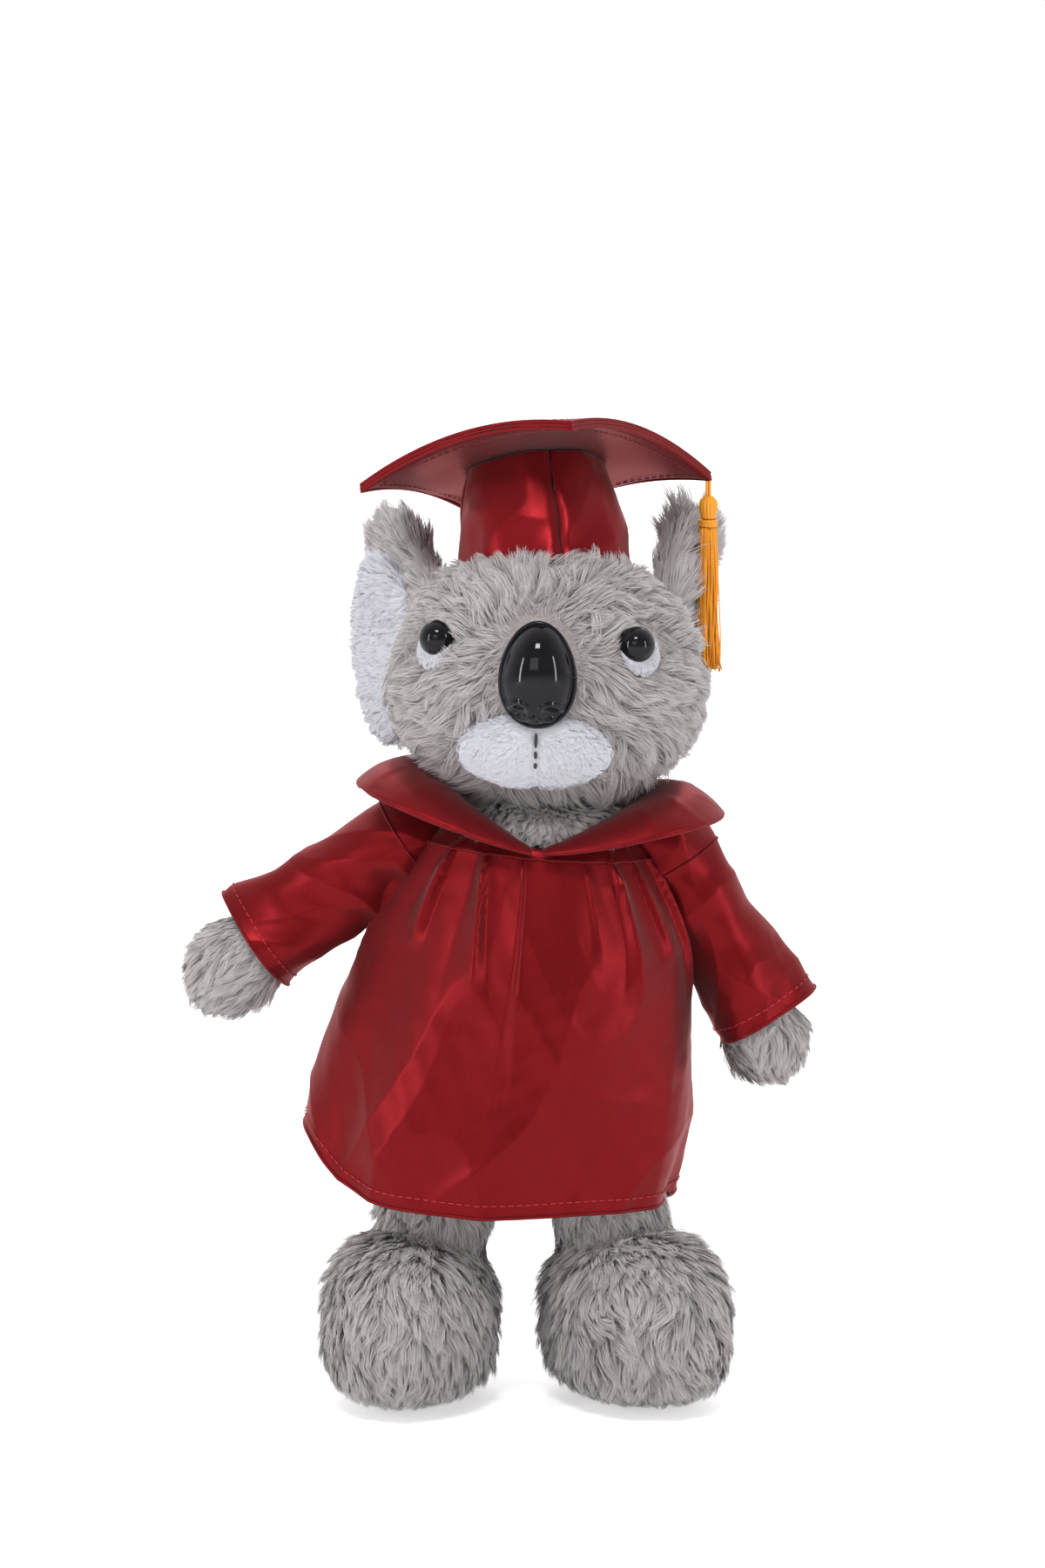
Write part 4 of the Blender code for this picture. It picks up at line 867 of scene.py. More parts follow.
def fur_looks(pile):
    """The grey pile's two layers, and the backing that they stand in. Their darker roots are painted shade deep in
    the pile, and the backing takes that darker grey.
    """
    # The short layer's tips are darkened: painted shade under the long layer.
    under = pile_look("grey_underpile_painted_shade", pile.shaded_root_colour, tuple(0.76 * v for v in pile.tip_colour), 0.86)
    over = pile_look("grey_pile", tuple(1.15 * v for v in pile.shaded_root_colour), pile.tip_colour, 0.86)
    # The backing's grey comes from the roots' grey, painted shade included.
    dark = tuple(0.95 * v for v in pile.shaded_root_colour)
    backing = plain_look("grey_backing", dark, tuple(1.5 * v for v in dark), 700.0, 0.95, 0.6)
    return under, over, backing


def fleece_looks(pile):
    """The white fleece and its backing. The roots are a little darker: painted shade deep in the fleece."""
    # A little darker than the fleece: painted shade at the roots.
    deep = tuple(0.92 * v for v in pile.fleece_colour)
    strands = pile_look("white_fleece", deep, pile.fleece_colour, 0.96)
    backing = plain_look("white_backing", deep, pile.fleece_colour, 700.0, 0.95, 0.5)
    return strands, backing


def grow_both(name, coat, count, pile, comb, looks, body, seed, reach=None, **style):
    """A short dense layer of grey pile, darker with painted shade, with the long one over it."""
    under, over, _ = looks
    grow_pile(f"{name}_underpile", coat, count, pile * 0.66, comb, under, body, "fur", seed, reach, **style)
    grow_pile(f"{name}_pile", coat, count, pile, comb, over, body, "fur", seed + 1, reach, **style)


# Head


def on_head(x, rise, grow=0.0):
    """The point of the head's front at a place, and the way out of it, in the head's frame."""
    half_x = (HEAD_WIDTH / 2 + grow) * (1.0 - HEAD_CHEEK_SHARE * rise / (HEAD_HEIGHT / 2))
    half_y = HEAD_DEPTH / 2 + grow
    half_z = HEAD_HEIGHT / 2 + grow
    depth = half_y * math.sqrt(1.0 - (x / half_x) ** 2 - (rise / half_z) ** 2)
    out = Vector((x / half_x**2, -depth / half_y**2, rise / half_z**2)).normalized()
    return Vector((x, -depth, rise + HEAD_RISE)), out


def eye_place(side):
    """The centre of an eye on the head, and the way it looks, in the head's frame."""
    return on_head(EYE_SHIFT + SIDES[side] * EYE_SPREAD, EYE_RISE)


def head_coat_mesh():
    """The backing of the head's pile, with shallow sockets and full cheeks."""
    halves = [size / 2 - COAT_INSET for size in (HEAD_WIDTH, HEAD_DEPTH, HEAD_HEIGHT)]
    grid = superellipsoid((0, 0, 0), halves, Matrix.Identity(4), 44, 72)
    grid[..., 0] *= 1.0 - HEAD_CHEEK_SHARE * grid[..., 2] / halves[2]
    grid[..., 2] += HEAD_RISE
    return rings_mesh("head_coat", [placed(grid, HEAD)])


def head_comb(roots, outs):
    """The pile runs away from the nose over the face, and down the back."""
    spot, _ = on_head(0.0, NOSE_RISE)
    nose = np.array(HEAD @ spot)
    away = unit(roots - nose - np.array((0.0, 0.012, 0.0)))
    back = np.clip((roots[:, 1:2] - NECK.y) / 0.03, 0.0, 1.0)
    low = np.clip((NECK.z + HEAD_RISE - roots[:, 2:3]) / 0.04, 0.0, 1.0)
    down = np.array((0.0, 0.0, -1.0))
    return away * (1.0 - 0.8 * back) + down * (0.20 + 0.35 * low + 0.9 * back)


def head_reach(roots, outs):
    """How long the pile is over the head: short by the eyes and nose, pressed by the cap."""
    here = local(roots, HEAD)
    share = np.ones(len(roots))
    front = here[:, 1] < 0.0
    for side in SIDES:
        spot, _ = eye_place(side)
        across = here[:, 0] - spot.x - SIDES[side] * EYE_PATCH_OUT
        along = here[:, 2] - spot.z + EYE_PATCH_DROP
        gap = np.hypot(across / EYE_PATCH_RADIUS, along / (EYE_PATCH_RADIUS * EYE_PATCH_STRETCH))
        share *= np.where(front, np.clip((gap - 0.80) / 0.75, 0.0, 1.0) ** 0.6, 1.0)
    spot, _ = on_head(0.0, NOSE_RISE)
    nose = np.hypot((here[:, 0] - spot.x) / (NOSE_WIDTH / 2), (here[:, 2] - spot.z) / (NOSE_HEIGHT / 2))
    share *= np.where(front, np.clip((nose - 0.92) / 0.7, 0.0, 1.0) ** 0.7, 1.0)
    mouth, _ = on_head(0.0, -MUZZLE_DROP)
    muzzle = np.hypot(
        (here[:, 0] - MUZZLE_SHIFT) / (MUZZLE_WIDTH / 2 * 0.90),
        (here[:, 2] - mouth.z) / (MUZZLE_HEIGHT / 2 * 0.80),
    )
    share *= np.where(front, np.clip((muzzle - 0.92) / 0.40, 0.0, 1.0) ** 0.6, 1.0)
    share *= 1.0 + 0.75 * np.clip((HEAD_RISE - HEAD_HEIGHT * 0.32 - here[:, 2]) / 0.010, 0.0, 1.0)
    cap = local(roots, CAP)
    under_cap = (np.hypot(cap[:, 0], cap[:, 1]) < CROWN_RADIUS) & (cap[:, 2] > -CROWN_SKIRT)
    return np.where(under_cap, np.minimum(share, CAPPED_PILE_SHARE), share)


def build_head(context):
    """The head's backing and pile."""
    pile = context.scene.koala_pile
    looks = fur_looks(pile)
    coat = add_piece("head_coat", head_coat_mesh(), looks[2], "head", ["head_skin"])
    grow_both("head", coat, pile.strands, pile.head_pile, head_comb, looks, "head", 11, head_reach, swirl=0.85)


def nose_mesh():
    """The moulded nose, with two rimmed nostrils low on its front."""
    spot, _ = on_head(0.0, NOSE_RISE)
    halves = (NOSE_WIDTH / 2, NOSE_DEPTH / 2, NOSE_HEIGHT / 2)
    grid = superellipsoid((0, 0, 0), halves, Matrix.Identity(4), 72, 96)
    grid[..., 0] *= 1.0 - NOSE_TAPER_SHARE * grid[..., 2] / halves[2]
    for side in SIDES.values():
        across = (grid[..., 0] - side * NOSTRIL_SPREAD) / NOSTRIL_WIDTH
        along = (grid[..., 2] + NOSTRIL_DROP) / NOSTRIL_HEIGHT
        gap = np.hypot(across, along)
        push = NOSTRIL_DEPTH * np.exp(-(gap**2)) - NOSTRIL_DEPTH * 0.45 * np.exp(-(((gap - 1.7) / 0.40) ** 2))
        grid[..., 1] += np.where(grid[..., 1] < 0.0, push, 0.0)
    lean = Matrix.Rotation(math.radians(NOSE_LEAN), 4, "Y")
    return rings_mesh("nose_shell", [placed(grid, HEAD @ Matrix.Translation(spot) @ lean)])


def nose_rim_path():
    """Round the foot of the nose, just in front of the pile's backing."""
    spot, _ = on_head(0.0, NOSE_RISE)
    turn = np.linspace(0, math.tau, 72)
    across = NOSE_WIDTH / 2 * np.cos(turn)
    up = NOSE_HEIGHT / 2 * np.sin(turn)
    across *= 1.0 - NOSE_TAPER_SHARE * np.sin(turn)
    path = np.stack([across, -0.0022 * np.ones_like(turn), up], -1)
    return placed(path, HEAD @ Matrix.Translation(spot))


def muzzle_mesh():
    """The backing of the white muzzle, a half moon whose corners droop."""
    spot, _ = on_head(0.0, -MUZZLE_DROP)
    halves = (MUZZLE_WIDTH / 2 - COAT_INSET, MUZZLE_BULGE / 2 - COAT_INSET / 2, MUZZLE_HEIGHT / 2 - COAT_INSET)
    grid = superellipsoid((0.0, 0.0, 0.0), halves, Matrix.Identity(4), 40, 72)
    across = grid[..., 0] / halves[0]
    grid[..., 2] *= np.where(grid[..., 2] < 0.0, 1.0, 0.80)
    grid[..., 2] -= MUZZLE_SAG * across**2
    grid[..., 0] += MUZZLE_SHIFT
    return rings_mesh("muzzle_coat", [placed(grid + np.array(spot), HEAD)])


def muzzle_comb(roots, outs):
    """The fleece lies away from the mouth's line, and a little down."""
    here = local(roots, HEAD)
    side = np.sign(here[:, 0:1]) * np.array(HEAD.to_3x3() @ Vector((1.0, 0.0, 0.0)))
    return side * 0.8 + np.array((0.0, 0.0, -0.7))


def muzzle_reach(roots, outs):
    """The fleece parts at the mouth's line and stops under the nose."""
    here = local(roots, HEAD)
    part = np.clip(np.abs(here[:, 0]) / 0.0016, 0.12, 1.0)
    spot, _ = on_head(0.0, NOSE_RISE)
    nose = np.hypot(here[:, 0] / (NOSE_WIDTH / 2), (here[:, 2] - spot.z) / (NOSE_HEIGHT / 2))
    front = here[:, 1] < -HEAD_DEPTH / 4
    return part * np.clip((nose - 0.95) / 0.15, 0.0, 1.0) * front


def mouth_rings(number):
    """One stitch of the mouth, on the muzzle's middle."""
    spot, _ = on_head(0.0, -MUZZLE_DROP)
    drops = np.linspace(0.0, MOUTH_LENGTHS[number], 7) + MOUTH_TOPS[number]
    share = np.clip((drops - MUZZLE_DROP) / (MUZZLE_HEIGHT / 2), -0.98, 0.98)
    front = spot.y - MUZZLE_BULGE / 2 * np.sqrt(1.0 - share**2) - MOUTH_THREAD / 3
    path = np.stack([np.zeros(7), front, HEAD_RISE - drops], -1)
    radii = MOUTH_THREAD / 2 * np.array((0.35, 0.85, 1.0, 1.0, 1.0, 0.85, 0.35))
    return tube_rings(placed(path, HEAD), radii, 8)


def eye_patch_comb(side):
    """The fleece round an eye lies away from it."""
    spot, _ = eye_place(side)
    middle = np.array(HEAD @ spot)
    return lambda roots, outs: unit(roots - middle) + np.array((0.0, 0.0, -0.15))


def build_eye(side, looks, gloss):
    """A polished dome on its ring of white fleece."""
    strands, backing = looks
    spot, out = eye_place(side)
    facing = HEAD @ Matrix.Translation(spot) @ out.to_track_quat("Z", "Y").to_matrix().to_4x4()
    radius = EYE_DIAMETER / 2
    dome = superellipsoid((0, 0, EYE_SINK), (radius, radius, radius), facing, 40, 56)
    add_piece(f"eye_dome_{side}", rings_mesh("eye", [dome]), gloss, "head", [f"eye_{side}"])
    across = facing.inverted().to_3x3() @ (HEAD.to_3x3() @ Vector((SIDES[side], 0.0, 0.0)))
    down = facing.inverted().to_3x3() @ (HEAD.to_3x3() @ Vector((0.0, 0.0, -1.0)))
    shift = across * EYE_PATCH_OUT + down * EYE_PATCH_DROP
    halves = (EYE_PATCH_RADIUS, EYE_PATCH_RADIUS * EYE_PATCH_STRETCH, 0.0024)
    patch = rings_mesh("eye_patch", [superellipsoid((shift.x, shift.y, 0.0), halves, facing, 20, 40)])
    name = f"eye_fleece_backing_{side}"
    coat = add_piece(name, patch, backing, "head", [f"eye_patch_{side}"])
    middle = np.array(HEAD @ spot)
    way = np.array(facing.to_3x3() @ Vector((0, 0, 1)))

    def reach(roots, outs):
        gap = np.linalg.norm(roots - middle, axis=1)
        return np.where((roots - middle) @ way > 0.0, np.clip((gap - radius * 0.8) / radius, 0.0, 1.0), 0.0)

    pile = bpy.context.scene.koala_pile
    comb = eye_patch_comb(side)
    seed = 31 + SIDES[side]
    size = pile.fleece_pile * 0.8
    grow_pile(f"eye_fleece_{side}", coat, 9000, size, comb, strands, "head", "fleece", seed, reach, rise=0.55)


def build_face(context):
    """Nose, eyes, muzzle and mouth."""
    pile = context.scene.koala_pile
    gloss = gloss_look("polished_black", context.scene.koala_trim.plastic_colour)
    looks = fleece_looks(pile)
    add_piece("nose_shell", nose_mesh(), gloss, "head", ["nose"])
    rim = rings_mesh("nose_rim", [tube_rings(nose_rim_path(), 0.0007, 8)])
    add_piece("nose_rim", rim, gloss, "head")
    coat = add_piece("muzzle_coat", muzzle_mesh(), looks[1], "head", ["muzzle_patch"])
    size = pile.fleece_pile
    grow_pile(
        "muzzle_fleece", coat, 39000, size, muzzle_comb, looks[0], "head", "fleece", 21, muzzle_reach,
        rise=0.45, gather=0.08, swirl=0.3,
    )
    thread = plain_look("black_thread", (0.01, 0.01, 0.01), (0.04, 0.04, 0.04), 1500.0, 0.6)
    for number in range(len(MOUTH_TOPS)):
        stitch = rings_mesh(f"mouth_thread_{number + 1}", [mouth_rings(number)])
        solid = [f"mouth_stitch_{number + 1}"]
        add_piece(f"mouth_thread_{number + 1}", stitch, thread, "head", solid)
    for side in SIDES:
        build_eye(side, looks, gloss)


# Ears


def ear_matrix(side):
    """The ear's own frame: X out from its root, -Y its lined face, Z up."""
    sign = SIDES[side]
    turned = HEAD.to_3x3().to_4x4() @ Matrix.Rotation(math.radians(sign * EAR_LEAN), 4, "Y")
    swept = turned @ Matrix.Rotation(sign * math.radians(EAR_SWEEPS[side]), 4, "Z")
    mirror = Matrix.Diagonal((sign, 1.0, 1.0, 1.0))
    return Matrix.Translation(JOINTS[f"ear_{side}_fold"]["pos_m"]) @ swept @ mirror


def ear_rings(front, back, shrink, steps=9, count=56):
    """A padded ear between two faces, round at its rim."""
    half_reach = EAR_REACH / 2
    rings = []
    for turn in np.linspace(0.06, math.pi - 0.06, steps):
        depth = (front + back) / 2 - (back - front) / 2 * math.cos(turn)
        swell = 1.0 - 0.14 * (1.0 - math.sin(turn))
        angle = np.linspace(0, math.tau, count, endpoint=False)
        x = half_reach + (half_reach - shrink) * np.cos(angle) * swell
        z = (EAR_HEIGHT / 2 - shrink) * np.sin(angle) * swell
        z = z * (1.0 - EAR_TAPER_SHARE * (1.0 - np.minimum(1.0, x / half_reach)))
        rings.append(np.stack([x, np.full_like(x, depth), z], -1))
    return np.array(rings)


def build_ear(side, context):
    """A grey ear with a fluffy white lining."""
    pile = context.scene.koala_pile
    grey = fur_looks(pile)
    strands, backing = fleece_looks(pile)
    body = f"ear_{side}"
    matrix = ear_matrix(side)
    half = EAR_THICKNESS / 2
    shape = rings_mesh("ear", [placed(ear_rings(-half + 0.001, half - COAT_INSET, COAT_INSET), matrix)])
    coat = add_piece(f"ear_coat_{side}", rounded(shape, 1), grey[2], body, [body])
    inner = ear_rings(-half - 0.0018, -half + 0.0012, EAR_HEIGHT * 0.035)
    inner[..., 0] = EAR_REACH - (EAR_REACH - inner[..., 0]) * 0.80
    inner[..., 2] = inner[..., 2] * 0.88 - EAR_HEIGHT * 0.06
    lining_shape = rounded(rings_mesh("lining", [placed(inner, matrix)]), 1)
    lining = add_piece(
        f"ear_lining_coat_{side}", lining_shape, backing, body, [f"ear_lining_{side}"]
    )
    root = np.array(matrix.translation)
    up = np.array(matrix.to_3x3() @ Vector((0, 0, 1)))

    def comb(roots, outs):
        away = roots - root
        return unit(away - up * (away @ up)[:, None] * 0.35) + np.array((0.0, 0.0, -0.15))

    def back_reach(roots, outs):
        here = local(roots, matrix)
        high = np.clip((here[:, 2] - EAR_HEIGHT * 0.20) / 0.012, 0.0, 1.0)
        high *= np.clip((EAR_REACH * 0.88 - here[:, 0]) / 0.008, 0.0, 1.0)
        near = np.clip((EAR_REACH * 0.32 - here[:, 0]) / 0.006, 0.0, 1.0)
        back = np.clip((here[:, 1] + half * 0.5) / (half * 0.8), 0.0, 1.0)
        return np.maximum(np.maximum(high, near * 0.8) * EAR_PUFFS[side], back)

    def rim_reach(roots, outs):
        here = local(roots, matrix)
        low = np.clip((EAR_HEIGHT * 0.26 - here[:, 2]) / 0.010, 0.0, 1.0)
        outer = np.clip((here[:, 0] - EAR_REACH * 0.74) / 0.008, 0.0, 1.0)
        front = np.clip((half * 0.9 - here[:, 1]) / half, 0.0, 1.0)
        away = np.clip((here[:, 0] - EAR_REACH * 0.25) / 0.008, 0.0, 1.0)
        return np.maximum(low, outer) * front * away

    seed = 51 + 7 * SIDES[side]
    size = pile.ear_pile
    count = int(pile.strands * 0.8)
    grow_both(f"ear_{side}", coat, count, size, comb, grey, body, seed, back_reach)
    grow_pile(
        f"ear_rim_{side}", coat, count, size * 0.7, comb, strands, body, "fleece", seed + 2, rim_reach, rise=0.35
    )
    grow_pile(
        f"ear_fleece_{side}", lining, count, size * 0.55, comb, strands, body, "fleece", seed + 3,
        rise=0.5, gather=0.35,
    )


# Body, arms and legs


def torso_rings(grow, count=40, rows=28):
    """Rings of the pear shaped body."""
    heights = np.linspace(0.0, 1.0, rows)
    wide = smooth_read(heights, TORSO_HEIGHT_SHARES, TORSO_WIDTH_SHARES) * TORSO_WIDTH / 2 + grow
    deep = smooth_read(heights, TORSO_HEIGHT_SHARES, TORSO_DEPTH_SHARES) * TORSO_DEPTH / 2 + grow
    turn = np.linspace(0, math.tau, count, endpoint=False)
    level = TORSO_BOTTOM - grow + (TORSO_TOP - TORSO_BOTTOM + 2 * grow) * heights
    x = MIDDLE.x + 0.001 + 0.004 * heights[:, None] + wide[:, None] * np.cos(turn)
    y = MIDDLE.y + deep[:, None] * np.sin(turn)
    return np.stack([x, y, np.broadcast_to(level[:, None], x.shape)], -1)


def build_torso(context):
    """The body under the gown, and the chest pile in the neckline."""
    pile = context.scene.koala_pile
    looks = fur_looks(pile)
    mesh = rings_mesh("torso_coat", [torso_rings(-COAT_INSET)])
    coat = add_piece("torso_coat", mesh, looks[2], "torso", ["torso_skin"])
    chest = rings_mesh("chest", [superellipsoid(CHEST_PLACE, CHEST_HALVES, Matrix.Identity(4))])
    chest_coat = add_piece("chest_coat", chest, looks[2], "torso")

    def comb(roots, outs):
        side = (roots - np.array(CHEST_PLACE)) * np.array((1.0, 1.0, 0.0))
        return unit(side) + np.array((0.0, 0.0, -0.9))

    def reach(roots, outs):
        across = np.abs(roots[:, 0] - NECK.x) / CHEST_HALVES[0]
        fore = np.clip((NECK.y - roots[:, 1]) / CHEST_HALVES[1], 0.0, 1.0)
        return np.clip(1.0 - 0.55 * fore * np.clip(1.0 - across, 0.0, 1.0), 0.4, 1.0)

    size = pile.paw_pile * 0.75
    # The chest pile takes the short layer's darker look: painted shade under the chin.
    grow_pile("chest_pile", chest_coat, 36000, size, comb, looks[0], "torso", "fur", 71, reach)


def arm_matrix(side):
    """The arm's own frame, which reaches from the shoulder along -Z."""
    turn = Matrix.Rotation(math.radians(-SIDES[side] * (90.0 - ARM_DROPS[side])), 4, "Y")
    return Matrix.Translation(SHOULDERS[side]) @ turn


def build_arm(side, context):
    """A stuffed arm, whose paw shows below the cuff."""
    pile = context.scene.koala_pile
    looks = fur_looks(pile)
    matrix = arm_matrix(side)
    shares = np.linspace(0.0, 1.0, 40)
    radii = smooth_read(shares, ARM_STATION_SHARES, ARM_RADIUS_SHARES) * ARM_RADIUS - COAT_INSET
    radii = np.maximum(radii, 0.0008)
    level = ARM_RADIUS - COAT_INSET + (-ARM_LENGTH - ARM_RADIUS + 2 * COAT_INSET) * shares
    turn = np.linspace(0, math.tau, 32, endpoint=False)
    x = radii[:, None] * np.cos(turn)
    y = radii[:, None] * np.sin(turn)
    grid = np.stack([x, y, np.broadcast_to(level[:, None], x.shape)], -1)
    body = f"arm_{side}"
    mesh = rings_mesh("arm_coat", [placed(grid, matrix)])
    coat = add_piece(f"arm_coat_{side}", mesh, looks[2], body, [f"arm_skin_{side}"])
    along = np.array(matrix.to_3x3() @ Vector((0, 0, -1)))

    def comb(roots, outs):
        return np.tile(along, (len(roots), 1)) + outs * 0.2 + np.array((0.0, 0.0, -0.25))

    def reach(roots, outs):
        here = local(roots, matrix)
        return np.clip((-here[:, 2] - SLEEVE_LENGTHS[side] + 0.003) / 0.008, 0.0, 1.0)

    seed = 81 + 5 * SIDES[side]
    grow_both(f"paw_{side}", coat, int(pile.strands * 0.9), pile.paw_pile, comb, looks, body, seed, reach)


def leg_rings(side, grow):
    """Rings of the leg from its hip down to the ankle."""
    shares = np.linspace(0.0, 1.0, 24)
    radii = smooth_read(shares, LEG_STATION_SHARES, LEG_RADIUS_SHARES) * LEG_RADIUS + grow
    top = LEG_RADIUS + grow
    level = top + (LEG_BOTTOM - HIPS[side].z - grow - top) * shares
    slant = np.clip((shares - 0.25) / 0.75, 0.0, 1.0)
    spread = SIDES[side] * (FOOT_SPREAD - (HIPS["left"].x - MIDDLE.x))
    turn = np.linspace(0, math.tau, 32, endpoint=False)
    x = HIPS[side].x + spread * slant[:, None] + radii[:, None] * np.cos(turn)
    y = HIPS[side].y - LEG_FORWARD * slant[:, None] + radii[:, None] * np.sin(turn)
    return np.stack([x, y, np.broadcast_to(HIPS[side].z + level[:, None], x.shape)], -1)


def foot_centre(side):
    """The middle of a foot, whose puffed instep stands above its sewn shape."""
    level = (FOOT_HEIGHT + FOOT_PUFF) / 2
    return Vector((MIDDLE.x + SIDES[side] * FOOT_SPREAD, MIDDLE.y - FOOT_FORWARD, level))


def build_leg(side, context):
    """A stuffed leg with its big foot."""
    pile = context.scene.koala_pile
    looks = fur_looks(pile)
    centre = foot_centre(side)
    facing = Matrix.Translation(centre) @ Matrix.Rotation(math.radians(FOOT_YAWS[side]), 4, "Z")
    sizes = (FOOT_WIDTH + COAT_INSET, FOOT_LENGTH, FOOT_HEIGHT + FOOT_PUFF)
    halves = [size / 2 - COAT_INSET for size in sizes]
    foot = superellipsoid((0, 0, 0), halves, facing, 40, 56, (FOOT_POWER, SOLE_POWER))
    forms = [rings_mesh("foot", [foot]), rings_mesh("leg", [leg_rings(side, -COAT_INSET)])]
    body = f"leg_{side}"
    mesh = joined_form("leg_coat", forms, 0.0018)
    coat = add_piece(f"leg_coat_{side}", mesh, looks[2], body, [f"leg_skin_{side}"])
    ankle = np.array(centre) + np.array((0.0, 0.010, FOOT_HEIGHT * 0.72))

    def comb(roots, outs):
        away = unit(roots - ankle)
        high = np.clip((roots[:, 2:3] - FOOT_HEIGHT) / 0.01, 0.0, 1.0)
        low = np.clip((0.012 - roots[:, 2:3]) / 0.012, 0.0, 1.0)
        return away * (1.0 - high) + np.array((0.0, 0.0, -0.35)) * (1.0 + 2.0 * high - low)

    def reach(roots, outs):
        sole = np.clip((roots[:, 2] - 0.0015) / 0.016, 0.0, 1.0) ** 0.8
        inside = np.clip((0.112 - roots[:, 2]) / 0.012, 0.0, 1.0)
        return sole * np.where(outs[:, 2] < -0.9, 0.0, 1.0) * inside

    seed = 91 + 5 * SIDES[side]
    count = pile.strands
    grow_both(f"foot_{side}", coat, count, pile.foot_pile, comb, looks, body, seed, reach, rise=0.40)


# Gown


def front_angles(count, low=-180.0, high=180.0, closed=True):
    """Angles round the gown from its back, past its front at 0."""
    return np.radians(np.linspace(low, high, count, endpoint=not closed))


def pleats(angles, fall):
    """How far the gathered cloth stands out: each pleat rises slowly and drops at its sharp edge."""
    total = np.zeros(np.broadcast(angles, fall).shape)
    for top, foot, reach, depth, narrow, wide, side in PLEAT_TABLE:
        run = np.clip(fall / reach, 0.0, 1.0)
        middle = np.radians(top + (foot - top) * run)
        width = np.radians(narrow + (wide - narrow) * run)
        gap = side * ((angles - middle + math.pi) % math.tau - math.pi) / width
        fade = (1.0 - run**2.5) * np.clip(0.35 + fall * 12.0, 0.0, 1.0)
        rise = np.clip(1.0 + gap, 0.0, 1.0) ** 1.4
        drop = np.clip(1.0 - gap / (0.10 + 0.45 * run**2), 0.0, 1.0)
        total += depth * fade * np.where(gap < 0.0, rise, drop)
    return total


def skirt_points(angles, fall, grow=0.0):
    """Points of the skirt at angles from the front and falls from its seam."""
    cloth = bpy.context.scene.koala_cloth
    wide = SKIRT_WIDTH / 2 * smooth_read(fall, SKIRT_STATION_SHARES, SKIRT_WIDTH_SHARES)
    deep = SKIRT_DEPTH / 2 * smooth_read(fall, SKIRT_STATION_SHARES, SKIRT_DEPTH_SHARES)
    shift = SKIRT_SHIFT * smooth_read(fall, SKIRT_STATION_SHARES, SKIRT_SHIFT_SHARES)
    loose = 0.55 * np.cos(5 * angles + 0.7) + 0.35 * np.cos(8 * angles - 1.1) + 0.25 * np.cos(11 * angles)
    quiet = 1.0 - 0.6 * np.exp(-((angles / 0.8) ** 2))
    stand = cloth.fold_depth * loose * quiet * fall**1.3 + pleats(angles, fall) + grow
    tuck = 0.0045 * np.exp(-(((angles - math.radians(78)) / 0.35) ** 2)) * np.clip(fall - 0.7, 0.0, 1.0) / 0.3
    waist = 0.0040 * np.exp(-(((angles + math.radians(85)) / 0.55) ** 2)) * np.sin(math.pi * fall) ** 1.5
    stand = stand - tuck - waist
    x = GOWN_X + shift + (wide + stand) * np.sin(angles)
    y = MIDDLE.y - (deep + stand) * np.cos(angles)
    slope = math.tan(math.radians(GOWN_ROLL))
    top = SEAM_HEIGHT - (x - GOWN_X) * slope
    hem = smooth_read(np.degrees(angles), HEM_ANGLES, HEM_HEIGHTS)
    points = np.stack([x, y, top + (hem - top) * fall], -1)
    out = np.stack([np.sin(angles) * np.ones_like(fall), -np.cos(angles) * np.ones_like(fall), 0 * x], -1)
    fine = ripple(points, 0.030, 3, (1.0, 1.0, 1.6)) + 0.35 * ripple(points, 0.010, 4)
    pressed = creases(points, 0.046, 6, (1.0, 1.0, 1.3)) * (0.8 + 2.8 * np.clip(fall, 0.0, 1.0))
    stand = cloth.wrinkle * fine * np.clip(0.4 + fall, 0.0, 1.0) + cloth.crease * pressed
    return points + out * stand[..., None]


def build_skirt(satin, stitched):
    """The gathered skirt, with its turned and topstitched hem."""
    cloth = bpy.context.scene.koala_cloth
    angles = front_angles(460)[None, :]
    fall = np.linspace(0.0, 1.0, 150)[:, None]
    points = skirt_points(angles, fall)
    skirt = add_piece(
        "gown_skirt_cloth", cloth_mesh("skirt", points, True), satin, "torso", ["gown_skirt"]
    )
    thicken(skirt, cloth.thickness)
    hem = points[-1]
    closed = np.concatenate([hem, hem[:2]])
    edge = rings_mesh("hem", [tube_rings(closed, cloth.thickness * 0.85, 8)])
    roll = add_piece("gown_hem_roll", edge, satin, "torso")
    inset = 1.0 - cloth.hem_inset / (SEAM_HEIGHT - min(HEM_HEIGHTS))
    line = skirt_points(front_angles(600), np.full(600, inset), SEAM_GAP)
    row = add_stitches("gown_hem_stitches", [np.concatenate([line, line[:1]])], stitched, "torso")


def stitch_rings(point, way, length, radius):
    """One short topstitch, thin at both ends."""
    shares = np.array((-0.5, -0.36, 0.0, 0.36, 0.5))
    path = point + way * (shares * length)[:, None]
    return tube_rings(path, radius * np.array((0.25, 0.85, 1.0, 0.85, 0.25)), 6)


def add_stitches(name, lines, look, body):
    """Topstitching along lines that lie on the cloth."""
    cloth = bpy.context.scene.koala_cloth
    stacks = []
    for line in lines:
        points, ways = evenly(line, cloth.stitch_pitch)
        for point, way in zip(points, ways):
            stacks.append(stitch_rings(point, way, cloth.stitch_length, cloth.stitch_width / 2))
    return add_piece(name, rings_mesh(name, stacks), look, body)


